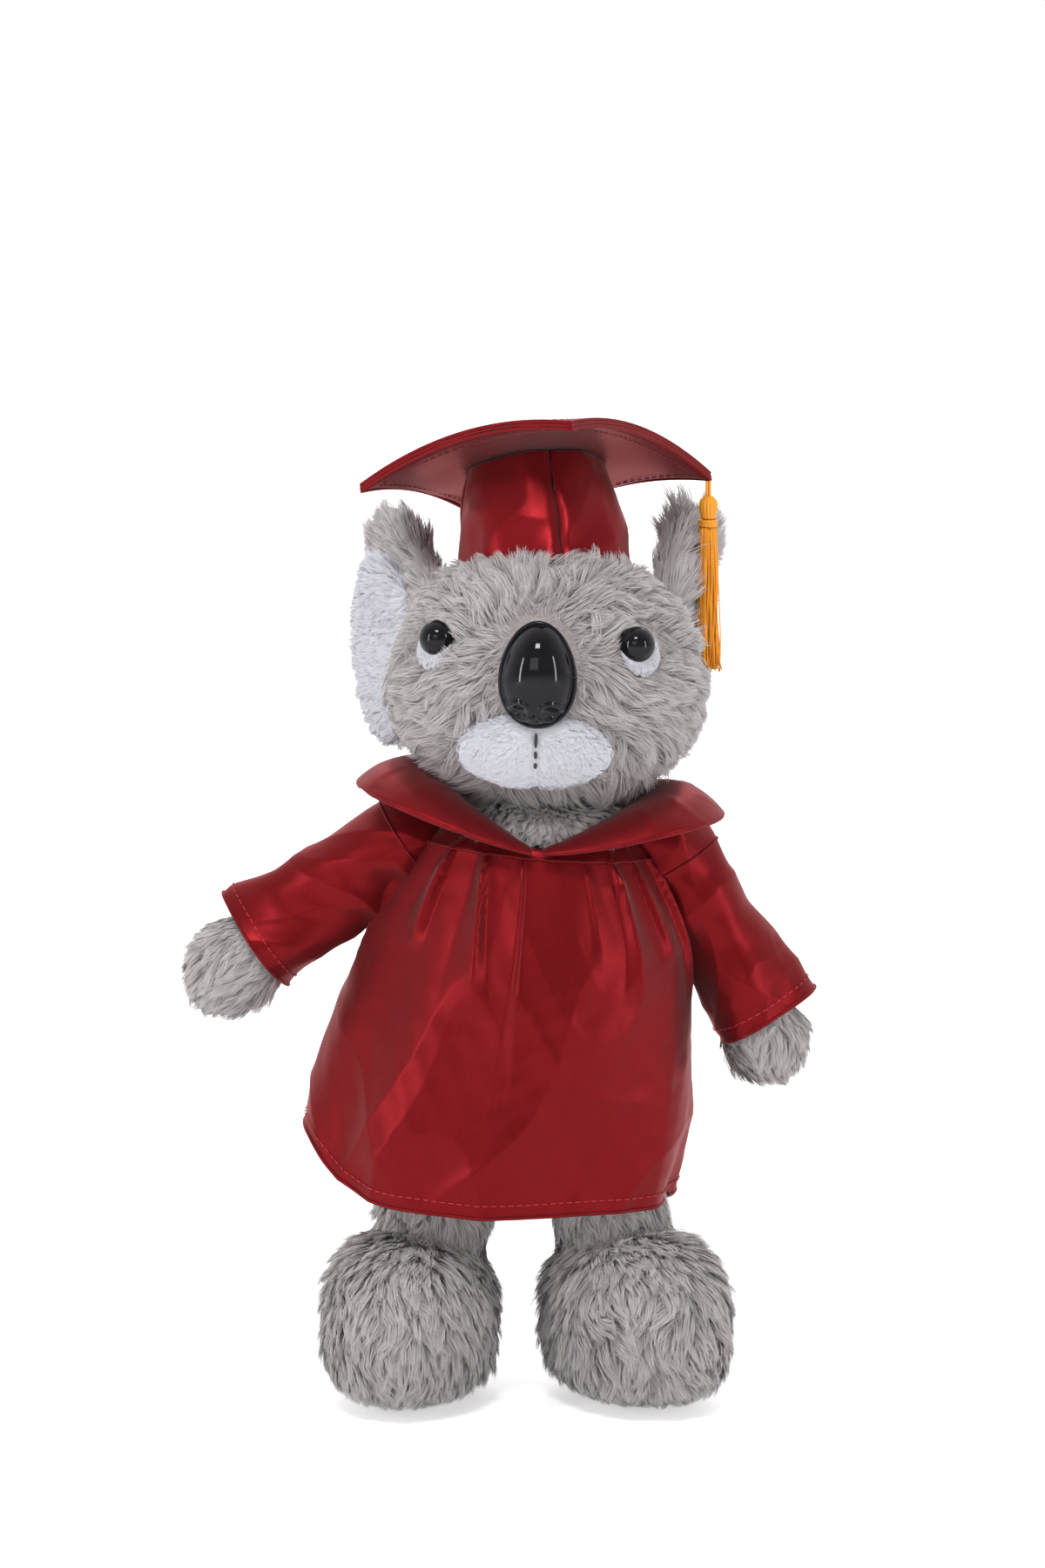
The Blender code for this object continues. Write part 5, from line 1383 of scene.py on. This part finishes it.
def yoke_points(angles, rise):
    """Points of the yoke from the skirt's seam at 0 up to the neckline at 1."""
    seam = skirt_points(angles * np.ones_like(rise), 0.0 * rise * np.ones_like(angles))
    front = np.clip(np.cos(angles), 0.0, 1.0)
    x = NECK.x + NECKLINE_RADIUS * np.sin(angles)
    y = NECK.y - (NECKLINE_RADIUS + 0.004 * front**3) * np.cos(angles)
    z = NECKLINE_HEIGHT - 0.0080 * front**4
    neck = np.stack([x, y, z], -1)
    bulge = 0.0022 * np.sin(math.pi * rise) * np.ones_like(angles)
    points = seam * (1.0 - rise)[..., None] + neck * rise[..., None]
    points[..., 2] += bulge
    points[..., 2] += 0.0003 * ripple(points, 0.009, 5) + 0.0009 * creases(points, 0.020, 7)
    return points


def build_yoke(satin, stitched):
    """The front and the two back pieces of the yoke, and the seam that gathers the skirt."""
    cloth = bpy.context.scene.koala_cloth
    for name, (low, high, cut, area) in YOKE_SPANS.items():
        angles = front_angles(90, low, high, False)[None, :]
        points = yoke_points(angles, np.linspace(0.0, 1.0, 18)[:, None])
        piece = add_piece(f"{name}_cloth", cloth_mesh(name, points), satin, "torso", [name])
        thicken(piece, cloth.thickness)
    seam = skirt_points(front_angles(240), np.zeros(240), SEAM_GAP)
    closed = np.concatenate([seam, seam[:2]])
    add_piece(
        "gown_yoke_seam", rings_mesh("seam", [tube_rings(closed, SEAM_ROLL, 8)]), satin, "torso"
    )


def sleeve_matrix(side):
    """The sleeve's own frame, which hangs a little further out than the arm in it."""
    sign = SIDES[side]
    drop = ARM_DROPS[side] - SLEEVE_TURNS[side]
    turn = Matrix.Rotation(math.radians(-sign * (90.0 - drop)), 4, "Y")
    return Matrix.Translation(SHOULDERS[side]) @ turn


def sleeve_points(angles, shares, side, grow=0.0):
    """Points of a sleeve, with its creases, in the row frame."""
    cloth = bpy.context.scene.koala_cloth
    dome = np.clip(-shares / 0.25, 0.0, 1.0)
    wide = smooth_read(np.maximum(shares, 0.12), SLEEVE_STATION_SHARES, SLEEVE_WIDTH_SHARES)
    radius = SLEEVE_RADIUS * wide * np.cos(dome * 0.9) + grow
    level = -SLEEVE_LENGTHS[side] * np.maximum(shares, 0.0) + SLEEVE_RADIUS * np.sin(dome * 0.9)
    sign = SIDES[side]
    flat = 1.0 + 0.08 * np.cos(2 * angles) * np.clip(shares, 0.0, 1.0)
    armpit = np.exp(-(((shares - 0.15) / 0.25) ** 2)) * np.clip(-sign * np.cos(angles), 0.0, 1.0)
    crease = 0.0034 * (1.0 - 2.0 * np.abs(np.sin(shares * 11.0 + 1.4 * np.sin(angles)))) * armpit
    run = 0.0022 * np.cos(3 * angles + 5.0 * shares + sign) * np.clip(shares - 0.1, 0.0, 1.0)
    radius = radius * flat + crease + run
    flatwise = np.stack([np.cos(angles) * np.ones_like(level), np.sin(angles) * np.ones_like(level)], -1)
    own = sleeve_matrix(side)
    grid = np.concatenate([flatwise * radius[..., None], (level * np.ones_like(angles))[..., None]], -1)
    grid = placed(grid, own)
    out = np.concatenate([flatwise, np.zeros_like(flatwise[..., :1])], -1) @ np.array(own.to_3x3()).T
    fine = ripple(grid, 0.020, 17 + sign) + 0.25 * ripple(grid, 0.008, 19 + sign)
    pressed = 1.6 * creases(grid, 0.030, 27 + sign)
    return grid + out * (cloth.wrinkle * fine + cloth.crease * pressed)[..., None]


def build_sleeve(side, satin, stitched):
    """A sleeve, whose round shoulder turns with the arm, and its topstitched cuff."""
    cloth = bpy.context.scene.koala_cloth
    angles = np.linspace(0, math.tau, 160, endpoint=False)[None, :]
    shares = np.linspace(-0.22, 1.0, 120)[:, None]
    name = f"sleeve_{side}_cloth"
    body = f"arm_{side}"
    mesh = cloth_mesh(name, sleeve_points(angles, shares, side), True)
    sleeve = add_piece(name, mesh, satin, body, [f"sleeve_{side}"])
    thicken(sleeve, cloth.thickness)
    hole = sleeve_points(np.linspace(0, math.tau, 97), np.full(97, ARMHOLE_SHARES[side]), side, 0.0001)
    seam = rings_mesh("armhole", [tube_rings(np.concatenate([hole, hole[1:2]]), SEAM_ROLL, 8)])
    add_piece(f"armhole_seam_{side}", seam, satin, body)
    ring = sleeve_points(np.linspace(0, math.tau, 97), np.full(97, 1.0), side)
    roll = rings_mesh("cuff", [tube_rings(np.concatenate([ring, ring[1:2]]), cloth.thickness * 0.8, 8)])
    add_piece(f"cuff_roll_{side}", roll, satin, body)
    inset = 1.0 - cloth.hem_inset / SLEEVE_LENGTHS[side]
    line = sleeve_points(np.linspace(0, math.tau, 241), np.full(241, inset), side, SEAM_GAP)
    add_stitches(f"cuff_stitches_{side}", [line], stitched, body)


def collar_points(angles, across):
    """Points of the collar at angles from the front, from its neck at 0 to its edge at 1."""
    table = np.abs(angles)
    inner = smooth_read(table, COLLAR_ANGLES, COLLAR_INNER_SHARES) * COLLAR_REACH
    outer = smooth_read(table, COLLAR_ANGLES, COLLAR_OUTER_SHARES) * COLLAR_REACH
    low = smooth_read(table, COLLAR_ANGLES, COLLAR_INNER_RISE_SHARES) * COLLAR_HEIGHT
    arch = smooth_read(table, COLLAR_ANGLES, COLLAR_ARCH_RISE_SHARES) * COLLAR_HEIGHT
    edge = smooth_read(table, COLLAR_ANGLES, COLLAR_OUTER_RISE_SHARES) * COLLAR_HEIGHT
    reach = inner + (outer - inner) * across
    peak = 2.0 * arch - (low + edge) / 2
    rise = low * (1 - across) ** 2 + 2 * across * (1 - across) * peak + edge * across**2
    turn = np.radians(angles)
    x = reach * np.sin(turn)
    y = -reach * np.cos(turn)
    points = np.stack([x, y, rise * np.ones_like(x)], -1)
    matrix = Matrix.Translation((GOWN_X, MIDDLE.y, COLLAR_BASE)) @ Matrix.Rotation(math.radians(GOWN_ROLL), 4, "Y")
    points = placed(points, matrix)
    cloth = bpy.context.scene.koala_cloth
    soft = cloth.wrinkle * ripple(points, 0.018, 23) + cloth.crease * creases(points, 0.024, 29)
    points[..., 2] += np.maximum(soft, -COLLAR_DIP) * np.clip(0.3 + across, 0.0, 1.0)
    return points


def build_collar(satin, stitched):
    """The wide collar, open in a V at the front."""
    cloth = bpy.context.scene.koala_cloth
    angles = np.linspace(COLLAR_ANGLES[0], 360.0 - COLLAR_ANGLES[0], 260)
    angles = np.where(angles > 180.0, angles - 360.0, angles)[None, :]
    points = collar_points(angles, np.linspace(0.0, 1.0, 30)[:, None])
    collar = add_piece("collar_cloth", cloth_mesh("collar", points), satin, "torso", ["collar"])
    thicken(collar, cloth.thickness * 1.8, 0.0)
    edge = rings_mesh("collar_edge", [tube_rings(points[-1], cloth.thickness * 0.95, 8)])
    roll = add_piece("collar_edge_roll", edge, satin, "torso")


def build_gown(context):
    """The gown's skirt, yoke, sleeves and collar."""
    cloth = context.scene.koala_cloth
    satin = satin_look("dark_red_satin", cloth.satin_colour)
    thread = cloth.thread_colour
    stitched = plain_look("red_thread", tuple(0.8 * v for v in thread), thread, 2500.0, 0.55)
    build_skirt(satin, stitched)
    build_yoke(satin, stitched)
    for side in SIDES:
        build_sleeve(side, satin, stitched)
    build_collar(satin, stitched)


# Cap and tassel


def board_height(x, y):
    """How far the board stands above its middle: its edges lift and its corners droop."""
    across = (x / (BOARD_SIDE / 2)) ** 2
    along = (y / (BOARD_SIDE / 2)) ** 2
    return BOARD_LIFT * (across + along) / 2 - BOARD_DROOP * across * along


def board_point(x, y, level):
    """Points of the board in the row frame, from its own square axes."""
    turned = CAP @ Matrix.Rotation(math.radians(45.0), 4, "Z")
    points = np.stack([x, y, CROWN_HEIGHT + BOARD_GAP + level + board_height(x, y)], -1)
    return placed(points, turned)


def crown_radius(share):
    """The crown's outer radius at a share of its height."""
    straight = CROWN_RADIUS + (CROWN_TOP_RADIUS - CROWN_RADIUS) * share
    return straight * (1.0 + CROWN_BULGE_SHARE * np.sin(math.pi * np.clip(share, 0.0, 1.0)))


def build_crown(satin):
    """Four panels, full between their seams."""
    cloth = bpy.context.scene.koala_cloth
    for panel in range(CROWN_PANELS):
        start = math.tau * panel / CROWN_PANELS - math.pi / 2
        across = np.linspace(0.0, 1.0, 44)[None, :]
        share = np.linspace(-CROWN_SKIRT / CROWN_HEIGHT, 1.0, 44)[:, None]
        angle = start + math.tau / CROWN_PANELS * across
        radius = crown_radius(share) * (1.0 + 0.0 * across)
        radius = radius - 0.0011 * (np.exp(-((across / 0.035) ** 2)) + np.exp(-(((1 - across) / 0.035) ** 2)))
        radius = radius + 0.0010 * np.sin(math.pi * across) * np.sin(math.pi * np.clip(share, 0.0, 1.0))
        corner = radius / math.sqrt(2.0)
        level = share * (CROWN_HEIGHT + board_height(corner, corner))
        points = np.stack([radius * np.cos(angle), radius * np.sin(angle), level], -1)
        out = np.stack([np.cos(angle) + 0 * share, np.sin(angle) + 0 * share, 0 * radius], -1)
        full = np.clip(np.minimum(across, 1.0 - across) / 0.12, 0.0, 1.0)
        fine = ripple(points, 0.013, 41 + panel) * cloth.wrinkle + creases(points, 0.020, 43) * cloth.crease * full
        points = placed(points + out * fine[..., None], CAP)
        name = f"crown_panel_{panel + 1}"
        piece = add_piece(f"{name}_cloth", cloth_mesh(name, points), satin, "cap", [name])
        thicken(piece, cloth.thickness)


def board_sheet(level, edge_drop):
    """One cover of the board, turned at its edge."""
    half = BOARD_SIDE / 2
    places = np.linspace(-half, half, 70)
    x, y = np.meshgrid(places, places)
    rim = np.clip((np.maximum(np.abs(x), np.abs(y)) - half + 0.0022) / 0.0022, 0.0, 1.0)
    grid = board_point(x, y, level - edge_drop * rim**2)
    return grid + np.array((0.0, 0.0, 1.0)) * (0.00035 * ripple(grid, 0.020, 47))[..., None]


def edge_line(inset, level, count=60):
    """Once round the board at an inset from its edge."""
    half = BOARD_SIDE / 2 - inset
    run = np.linspace(-half, half, count)
    low = np.full(count, -half)
    x = np.concatenate([run, -low, run[::-1], low])
    y = np.concatenate([low, run, -low, run[::-1]])
    return board_point(x, y, np.full(len(x), level))


def build_board(satin, stitched):
    """The board's covers, its layered edge and its topstitching."""
    cloth = bpy.context.scene.koala_cloth
    covers = (
        ("board_under_cloth", 0.0, -0.0011, "board_cover_bottom", 1.0),
        ("board_upper_cloth", BOARD_THICKNESS, 0.0011, "board_cover_top", -1.0),
    )
    for name, level, drop, solid, offset in covers:
        mesh = cloth_mesh(name, board_sheet(level, drop))
        cover = thicken(add_piece(name, mesh, satin, "cap", [solid]), cloth.thickness, offset)
    radius = BOARD_THICKNESS / BOARD_RIDGES / 2
    for ridge in range(BOARD_RIDGES):
        line = edge_line(0.0004, radius * (2 * ridge + 1))
        path = np.concatenate([line, line[:2]])
        mesh = rings_mesh("ridge", [tube_rings(path, radius * 1.08, 8)])
        add_piece(f"board_edge_fold_{ridge + 1}", mesh, satin, "cap")
    lines = [edge_line(BOARD_SEAM_INSET, level) for level in (-0.0001, BOARD_THICKNESS + 0.0001)]
    add_stitches("board_stitches", lines, stitched, "cap")


def build_tassel(context):
    """The yarn tassel at the board's left corner."""
    trim = context.scene.koala_trim
    yarn_deep = tuple(0.84 * v for v in trim.yarn_colour)
    yarn = plain_look("yellow_yarn", yarn_deep, trim.yarn_colour, 900.0, 0.5, 0.4, 0.0003)
    top = Matrix.Translation(JOINTS["tassel_swing"]["pos_m"])
    rng = np.random.default_rng(61)
    head_top = -TASSEL_LOOP_LENGTH - SEAM_GAP
    loop_path = np.array([(0.0, 0.0, share) for share in np.linspace(0.0009, head_top - 0.001, 12)])
    loops = [tube_rings(placed(loop_path + np.array((shift, 0, 0)), top), 0.0005, 8) for shift in (-0.0005, 0.0005)]
    add_piece("tassel_loop_yarn", rings_mesh("loop", loops), yarn, "tassel", ["tassel_loop"])
    shares = np.linspace(0.0, 1.0, 16)
    wide = TASSEL_HEAD_RADIUS * smooth_read(shares, (0.0, 0.15, 0.45, 0.80, 1.0), (0.45, 0.80, 1.0, 0.85, 0.75))
    turn = np.linspace(0, math.tau, 60, endpoint=False)
    ribs = 1.0 + 0.07 * np.cos(15 * turn)[None, :]
    level = head_top - TASSEL_HEAD_HEIGHT * shares
    x = wide[:, None] * ribs * np.cos(turn)
    y = wide[:, None] * ribs * np.sin(turn)
    knot = placed(np.stack([x, y, np.broadcast_to(level[:, None], x.shape)], -1), top)
    add_piece("tassel_head_yarn", rings_mesh("knot", [knot]), yarn, "tassel", ["tassel_head"])
    binding_top = head_top - TASSEL_HEAD_HEIGHT - SEAM_GAP
    wraps = 4
    turns = np.linspace(0, math.tau * wraps, 30 * wraps)
    fall = TASSEL_BINDING_HEIGHT * turns / turns[-1]
    size = TASSEL_BINDING_RADIUS - 0.0004
    coil = np.stack([size * np.cos(turns), size * np.sin(turns), binding_top - fall], -1)
    core = np.stack([0 * shares, 0 * shares, binding_top - TASSEL_BINDING_HEIGHT * shares], -1)
    stacks = [tube_rings(placed(coil, top), 0.0004, 8), tube_rings(placed(core, top), size, 20)]
    add_piece("tassel_binding_yarn", rings_mesh("binding", stacks), yarn, "tassel", ["tassel_binding"])
    strand_top = binding_top - TASSEL_BINDING_HEIGHT
    strands = []
    for number in range(trim.strands):
        angle = rng.uniform(0, math.tau)
        reach = math.sqrt(rng.uniform(0.02, 1.0))
        long = TASSEL_LENGTH * rng.uniform(0.93, 1.0)
        falls = np.linspace(0.0, 1.0, 10)
        spread = TASSEL_TOP_RADIUS + (TASSEL_BOTTOM_RADIUS - TASSEL_TOP_RADIUS) * np.sqrt(falls)
        wave = 0.0006 * np.sin(falls * rng.uniform(4, 9) + rng.uniform(0, math.tau)) * falls
        if number == 0:
            wave = wave + TASSEL_STRAY * np.clip((falls - 0.55) / 0.45, 0.0, 1.0)
        lines = (spread * reach * math.cos(angle) + wave, spread * reach * math.sin(angle) - wave)
        path = np.stack([*lines, strand_top + 0.0006 - long * falls], -1)
        strands.append(tube_rings(placed(path, top), trim.strand_width / 2, 5))
    add_piece("tassel_strands", rings_mesh("strands", strands), yarn, "tassel", ["tassel_skirt"])


def build_cap(context):
    """The crown and the square board."""
    cloth = context.scene.koala_cloth
    satin = satin_look("cap_satin", cloth.satin_colour)
    thread = tuple(0.35 * v for v in cloth.thread_colour)
    stitched = plain_look("dark_red_thread", thread, tuple(1.4 * v for v in thread), 2500.0, 0.6)
    build_crown(satin)
    build_board(satin, stitched)


def dress_inner_parts():
    """Finishes of the solids that stay: fibre, washers, threads, tapes and card."""
    fibre = plain_look("white_fibre", (0.74, 0.74, 0.72), (0.90, 0.90, 0.88), 400.0, 1.0, 0.8, 0.0006)
    washer = plain_look("natural_plastic", (0.74, 0.74, 0.70), (0.82, 0.82, 0.78), 300.0, 0.45, 0.1)
    grey_thread = plain_look("grey_thread", (0.20, 0.19, 0.18), (0.34, 0.33, 0.32), 2500.0, 0.8)
    tape = plain_look("woven_tape", (0.12, 0.008, 0.012), (0.26, 0.014, 0.022), 3000.0, 0.9, 0.8)
    card = plain_look("grey_card", (0.36, 0.29, 0.20), (0.50, 0.42, 0.31), 500.0, 0.9)
    looks = {"stuffing": fibre, "washer": washer, "seam_thread": grey_thread, "tape": tape, "stiffener": card}
    for name, node in frame["nodes"].items():
        for word, look in looks.items():
            if word in name:
                node.data.materials.clear()
                node.data.materials.append(look)


# Studio


def soft_lamp(name, place, size, power, target):
    """A large soft lamp that looks at the toy."""
    lamp = bpy.data.lights.new(name, "AREA")
    lamp.shape = "RECTANGLE"
    lamp.size, lamp.size_y = size
    lamp.energy = power
    holder = bpy.data.objects.new(name, lamp)
    bpy.context.scene.collection.objects.link(holder)
    holder.location = place
    holder.rotation_euler = (Vector(target) - Vector(place)).to_track_quat("-Z", "Y").to_euler()


def white_to_camera(nodes, links):
    """One where the camera or a reflection looks, and nought where light is gathered."""
    path = nodes.new("ShaderNodeLightPath")
    first = nodes.new("ShaderNodeMath")
    first.operation = "MAXIMUM"
    second = nodes.new("ShaderNodeMath")
    second.operation = "MAXIMUM"
    links.new(path.outputs["Is Camera Ray"], first.inputs[0])
    links.new(path.outputs["Is Transmission Ray"], first.inputs[1])
    links.new(first.outputs[0], second.inputs[0])
    links.new(path.outputs["Is Glossy Ray"], second.inputs[1])
    return first.outputs[0], second.outputs[0]


def build_world():
    """A white surround, whose light is plain behind the toy and low behind the camera."""
    world = bpy.data.worlds.new("studio")
    bpy.context.scene.world = world
    world.use_nodes = True
    nodes = world.node_tree.nodes
    links = world.node_tree.links
    ground = nodes["Background"]
    ground.inputs["Color"].default_value = (1.0, 1.0, 1.0, 1.0)
    split = nodes.new("ShaderNodeSeparateXYZ")
    links.new(nodes.new("ShaderNodeTexCoord").outputs["Generated"], split.inputs["Vector"])
    room = nodes.new("ShaderNodeMapRange")
    for label, value in (("From Min", -0.5), ("From Max", 0.3), ("To Min", 0.24), ("To Max", 1.0)):
        room.inputs[label].default_value = value
    links.new(split.outputs["Y"], room.inputs["Value"])
    strength = nodes.new("ShaderNodeMix")
    seen, _ = white_to_camera(nodes, links)
    links.new(seen, strength.inputs[0])
    links.new(room.outputs["Result"], strength.inputs[2])
    strength.inputs[3].default_value = 1.0
    links.new(strength.outputs[0], ground.inputs["Strength"])


def build_floor():
    """A pale floor that keeps the toy's shadow."""
    shape = bmesh.new()
    bmesh.ops.create_grid(shape, x_segments=1, y_segments=1, size=6.0)
    mesh = bpy.data.meshes.new("floor")
    shape.to_mesh(mesh)
    shape.free()
    look, nodes, links, shader = blank("pale_floor")
    shader.inputs["Base Color"].default_value = (0.92, 0.92, 0.92, 1.0)
    shader.inputs["Roughness"].default_value = 0.8
    shader.inputs["Emission Color"].default_value = (1.0, 1.0, 1.0, 1.0)
    away = nodes.new("ShaderNodeVectorMath")
    away.operation = "LENGTH"
    links.new(nodes.new("ShaderNodeTexCoord").outputs["Object"], away.inputs[0])
    fade = nodes.new("ShaderNodeMapRange")
    for label, value in (("From Min", 0.25), ("From Max", 1.0), ("To Min", 0.52), ("To Max", 1.0)):
        fade.inputs[label].default_value = value
    links.new(away.outputs["Value"], fade.inputs["Value"])
    seen, mirrored = white_to_camera(nodes, links)
    faint = nodes.new("ShaderNodeMath")
    faint.operation = "MULTIPLY"
    faint.inputs[1].default_value = 0.12
    links.new(mirrored, faint.inputs[0])
    level = nodes.new("ShaderNodeMix")
    links.new(seen, level.inputs[0])
    links.new(faint.outputs[0], level.inputs[2])
    links.new(fade.outputs["Result"], level.inputs[3])
    links.new(level.outputs[0], shader.inputs["Emission Strength"])
    floor = bpy.data.objects.new("floor", mesh)
    bpy.context.scene.collection.objects.link(floor)
    mesh.materials.append(look)


def build_camera():
    """The camera, a little above the toy's middle."""
    lens = bpy.data.cameras.new("camera")
    lens.lens = CAMERA_LENS
    lens.sensor_width = CAMERA_SENSOR
    holder = bpy.data.objects.new("camera", lens)
    bpy.context.scene.collection.objects.link(holder)
    pitch = math.radians(CAMERA_PITCH)
    back = Vector((0.0, -math.cos(pitch), math.sin(pitch)))
    holder.location = CAMERA_TARGET + back * CAMERA_DISTANCE
    holder.rotation_euler = (math.pi / 2 - pitch, 0.0, 0.0)
    bpy.context.scene.camera = holder


def build_studio():
    """Camera, lamps, floor and surround."""
    bpy.context.scene.view_settings.view_transform = "Standard"
    build_camera()
    build_world()
    build_floor()
    middle = (MIDDLE.x, MIDDLE.y, 0.17)
    soft_lamp("key_lamp", (-0.10, -1.10, 1.55), (0.45, 0.3), 12.0, middle)
    soft_lamp("left_lamp", (-1.25, -0.85, 0.45), (0.12, 0.9), 6.5, middle)
    soft_lamp("right_lamp", (1.25, -0.85, 0.45), (0.12, 0.9), 5.5, middle)
    soft_lamp("front_lamp", (-0.60, -2.40, 1.00), (1.2, 0.9), 6.0, middle)
    soft_lamp("back_lamp", (0.0, 1.20, 1.10), (1.2, 0.6), 4.0, middle)


class KOALA_OT_head(bpy.types.Operator):
    """Make the head's backing and pile"""

    bl_idname = "koala.head"
    bl_label = "Head"

    def execute(self, context):
        build_head(context)
        return {"FINISHED"}


class KOALA_OT_face(bpy.types.Operator):
    """Make the nose, eyes, muzzle and mouth"""

    bl_idname = "koala.face"
    bl_label = "Face"

    def execute(self, context):
        build_face(context)
        return {"FINISHED"}


class KOALA_OT_ears(bpy.types.Operator):
    """Make both ears with their white lining"""

    bl_idname = "koala.ears"
    bl_label = "Ears"

    def execute(self, context):
        for side in SIDES:
            build_ear(side, context)
        return {"FINISHED"}


class KOALA_OT_torso(bpy.types.Operator):
    """Make the body and the chest pile"""

    bl_idname = "koala.torso"
    bl_label = "Body"

    def execute(self, context):
        build_torso(context)
        return {"FINISHED"}


class KOALA_OT_limbs(bpy.types.Operator):
    """Make the arms and the legs"""

    bl_idname = "koala.limbs"
    bl_label = "Arms and legs"

    def execute(self, context):
        for side in SIDES:
            build_arm(side, context)
            build_leg(side, context)
        return {"FINISHED"}


class KOALA_OT_gown(bpy.types.Operator):
    """Make the satin gown"""

    bl_idname = "koala.gown"
    bl_label = "Gown"

    def execute(self, context):
        build_gown(context)
        return {"FINISHED"}


class KOALA_OT_cap(bpy.types.Operator):
    """Make the cap's crown and board"""

    bl_idname = "koala.cap"
    bl_label = "Cap"

    def execute(self, context):
        build_cap(context)
        return {"FINISHED"}


class KOALA_OT_tassel(bpy.types.Operator):
    """Make the yarn tassel"""

    bl_idname = "koala.tassel"
    bl_label = "Tassel"

    def execute(self, context):
        build_tassel(context)
        return {"FINISHED"}


class KOALA_OT_inner_parts(bpy.types.Operator):
    """Finish the stuffing, washers, threads, tapes and card"""

    bl_idname = "koala.inner_parts"
    bl_label = "Inner parts"

    def execute(self, context):
        dress_inner_parts()
        return {"FINISHED"}


class KOALA_OT_studio(bpy.types.Operator):
    """Make the camera, lamps, floor and surround"""

    bl_idname = "koala.studio"
    bl_label = "Studio"

    def execute(self, context):
        build_studio()
        return {"FINISHED"}


OPERATORS = (
    KOALA_OT_studio,
    KOALA_OT_inner_parts,
    KOALA_OT_head,
    KOALA_OT_face,
    KOALA_OT_ears,
    KOALA_OT_torso,
    KOALA_OT_limbs,
    KOALA_OT_gown,
    KOALA_OT_cap,
    KOALA_OT_tassel,
)


class KOALA_PT_panel(bpy.types.Panel):
    """The koala's sizes, colours and pieces"""

    bl_idname = "KOALA_PT_panel"
    bl_label = "Plush koala"
    bl_space_type = "VIEW_3D"
    bl_region_type = "UI"
    bl_category = "Koala"

    def draw(self, context):
        for settings in (context.scene.koala_pile, context.scene.koala_cloth, context.scene.koala_trim):
            box = self.layout.box()
            for name in settings.bl_rna.properties.keys():
                if name not in {"rna_type", "name"}:
                    box.prop(settings, name)
        for operator in OPERATORS:
            self.layout.operator(operator.bl_idname)


CLASSES = (KoalaPile, KoalaCloth, KoalaTrim, *OPERATORS, KOALA_PT_panel)


def register():
    for kind in CLASSES:
        bpy.utils.register_class(kind)
    bpy.types.Scene.koala_pile = PointerProperty(type=KoalaPile)
    bpy.types.Scene.koala_cloth = PointerProperty(type=KoalaCloth)
    bpy.types.Scene.koala_trim = PointerProperty(type=KoalaTrim)


def unregister():
    del bpy.types.Scene.koala_trim
    del bpy.types.Scene.koala_cloth
    del bpy.types.Scene.koala_pile
    for kind in reversed(CLASSES):
        bpy.utils.unregister_class(kind)


def main():
    register()
    for operator in OPERATORS:
        getattr(bpy.ops.koala, operator.bl_idname.split(".")[1])()
    bpy.context.view_layer.update()


if __name__ == "__main__":
    main()
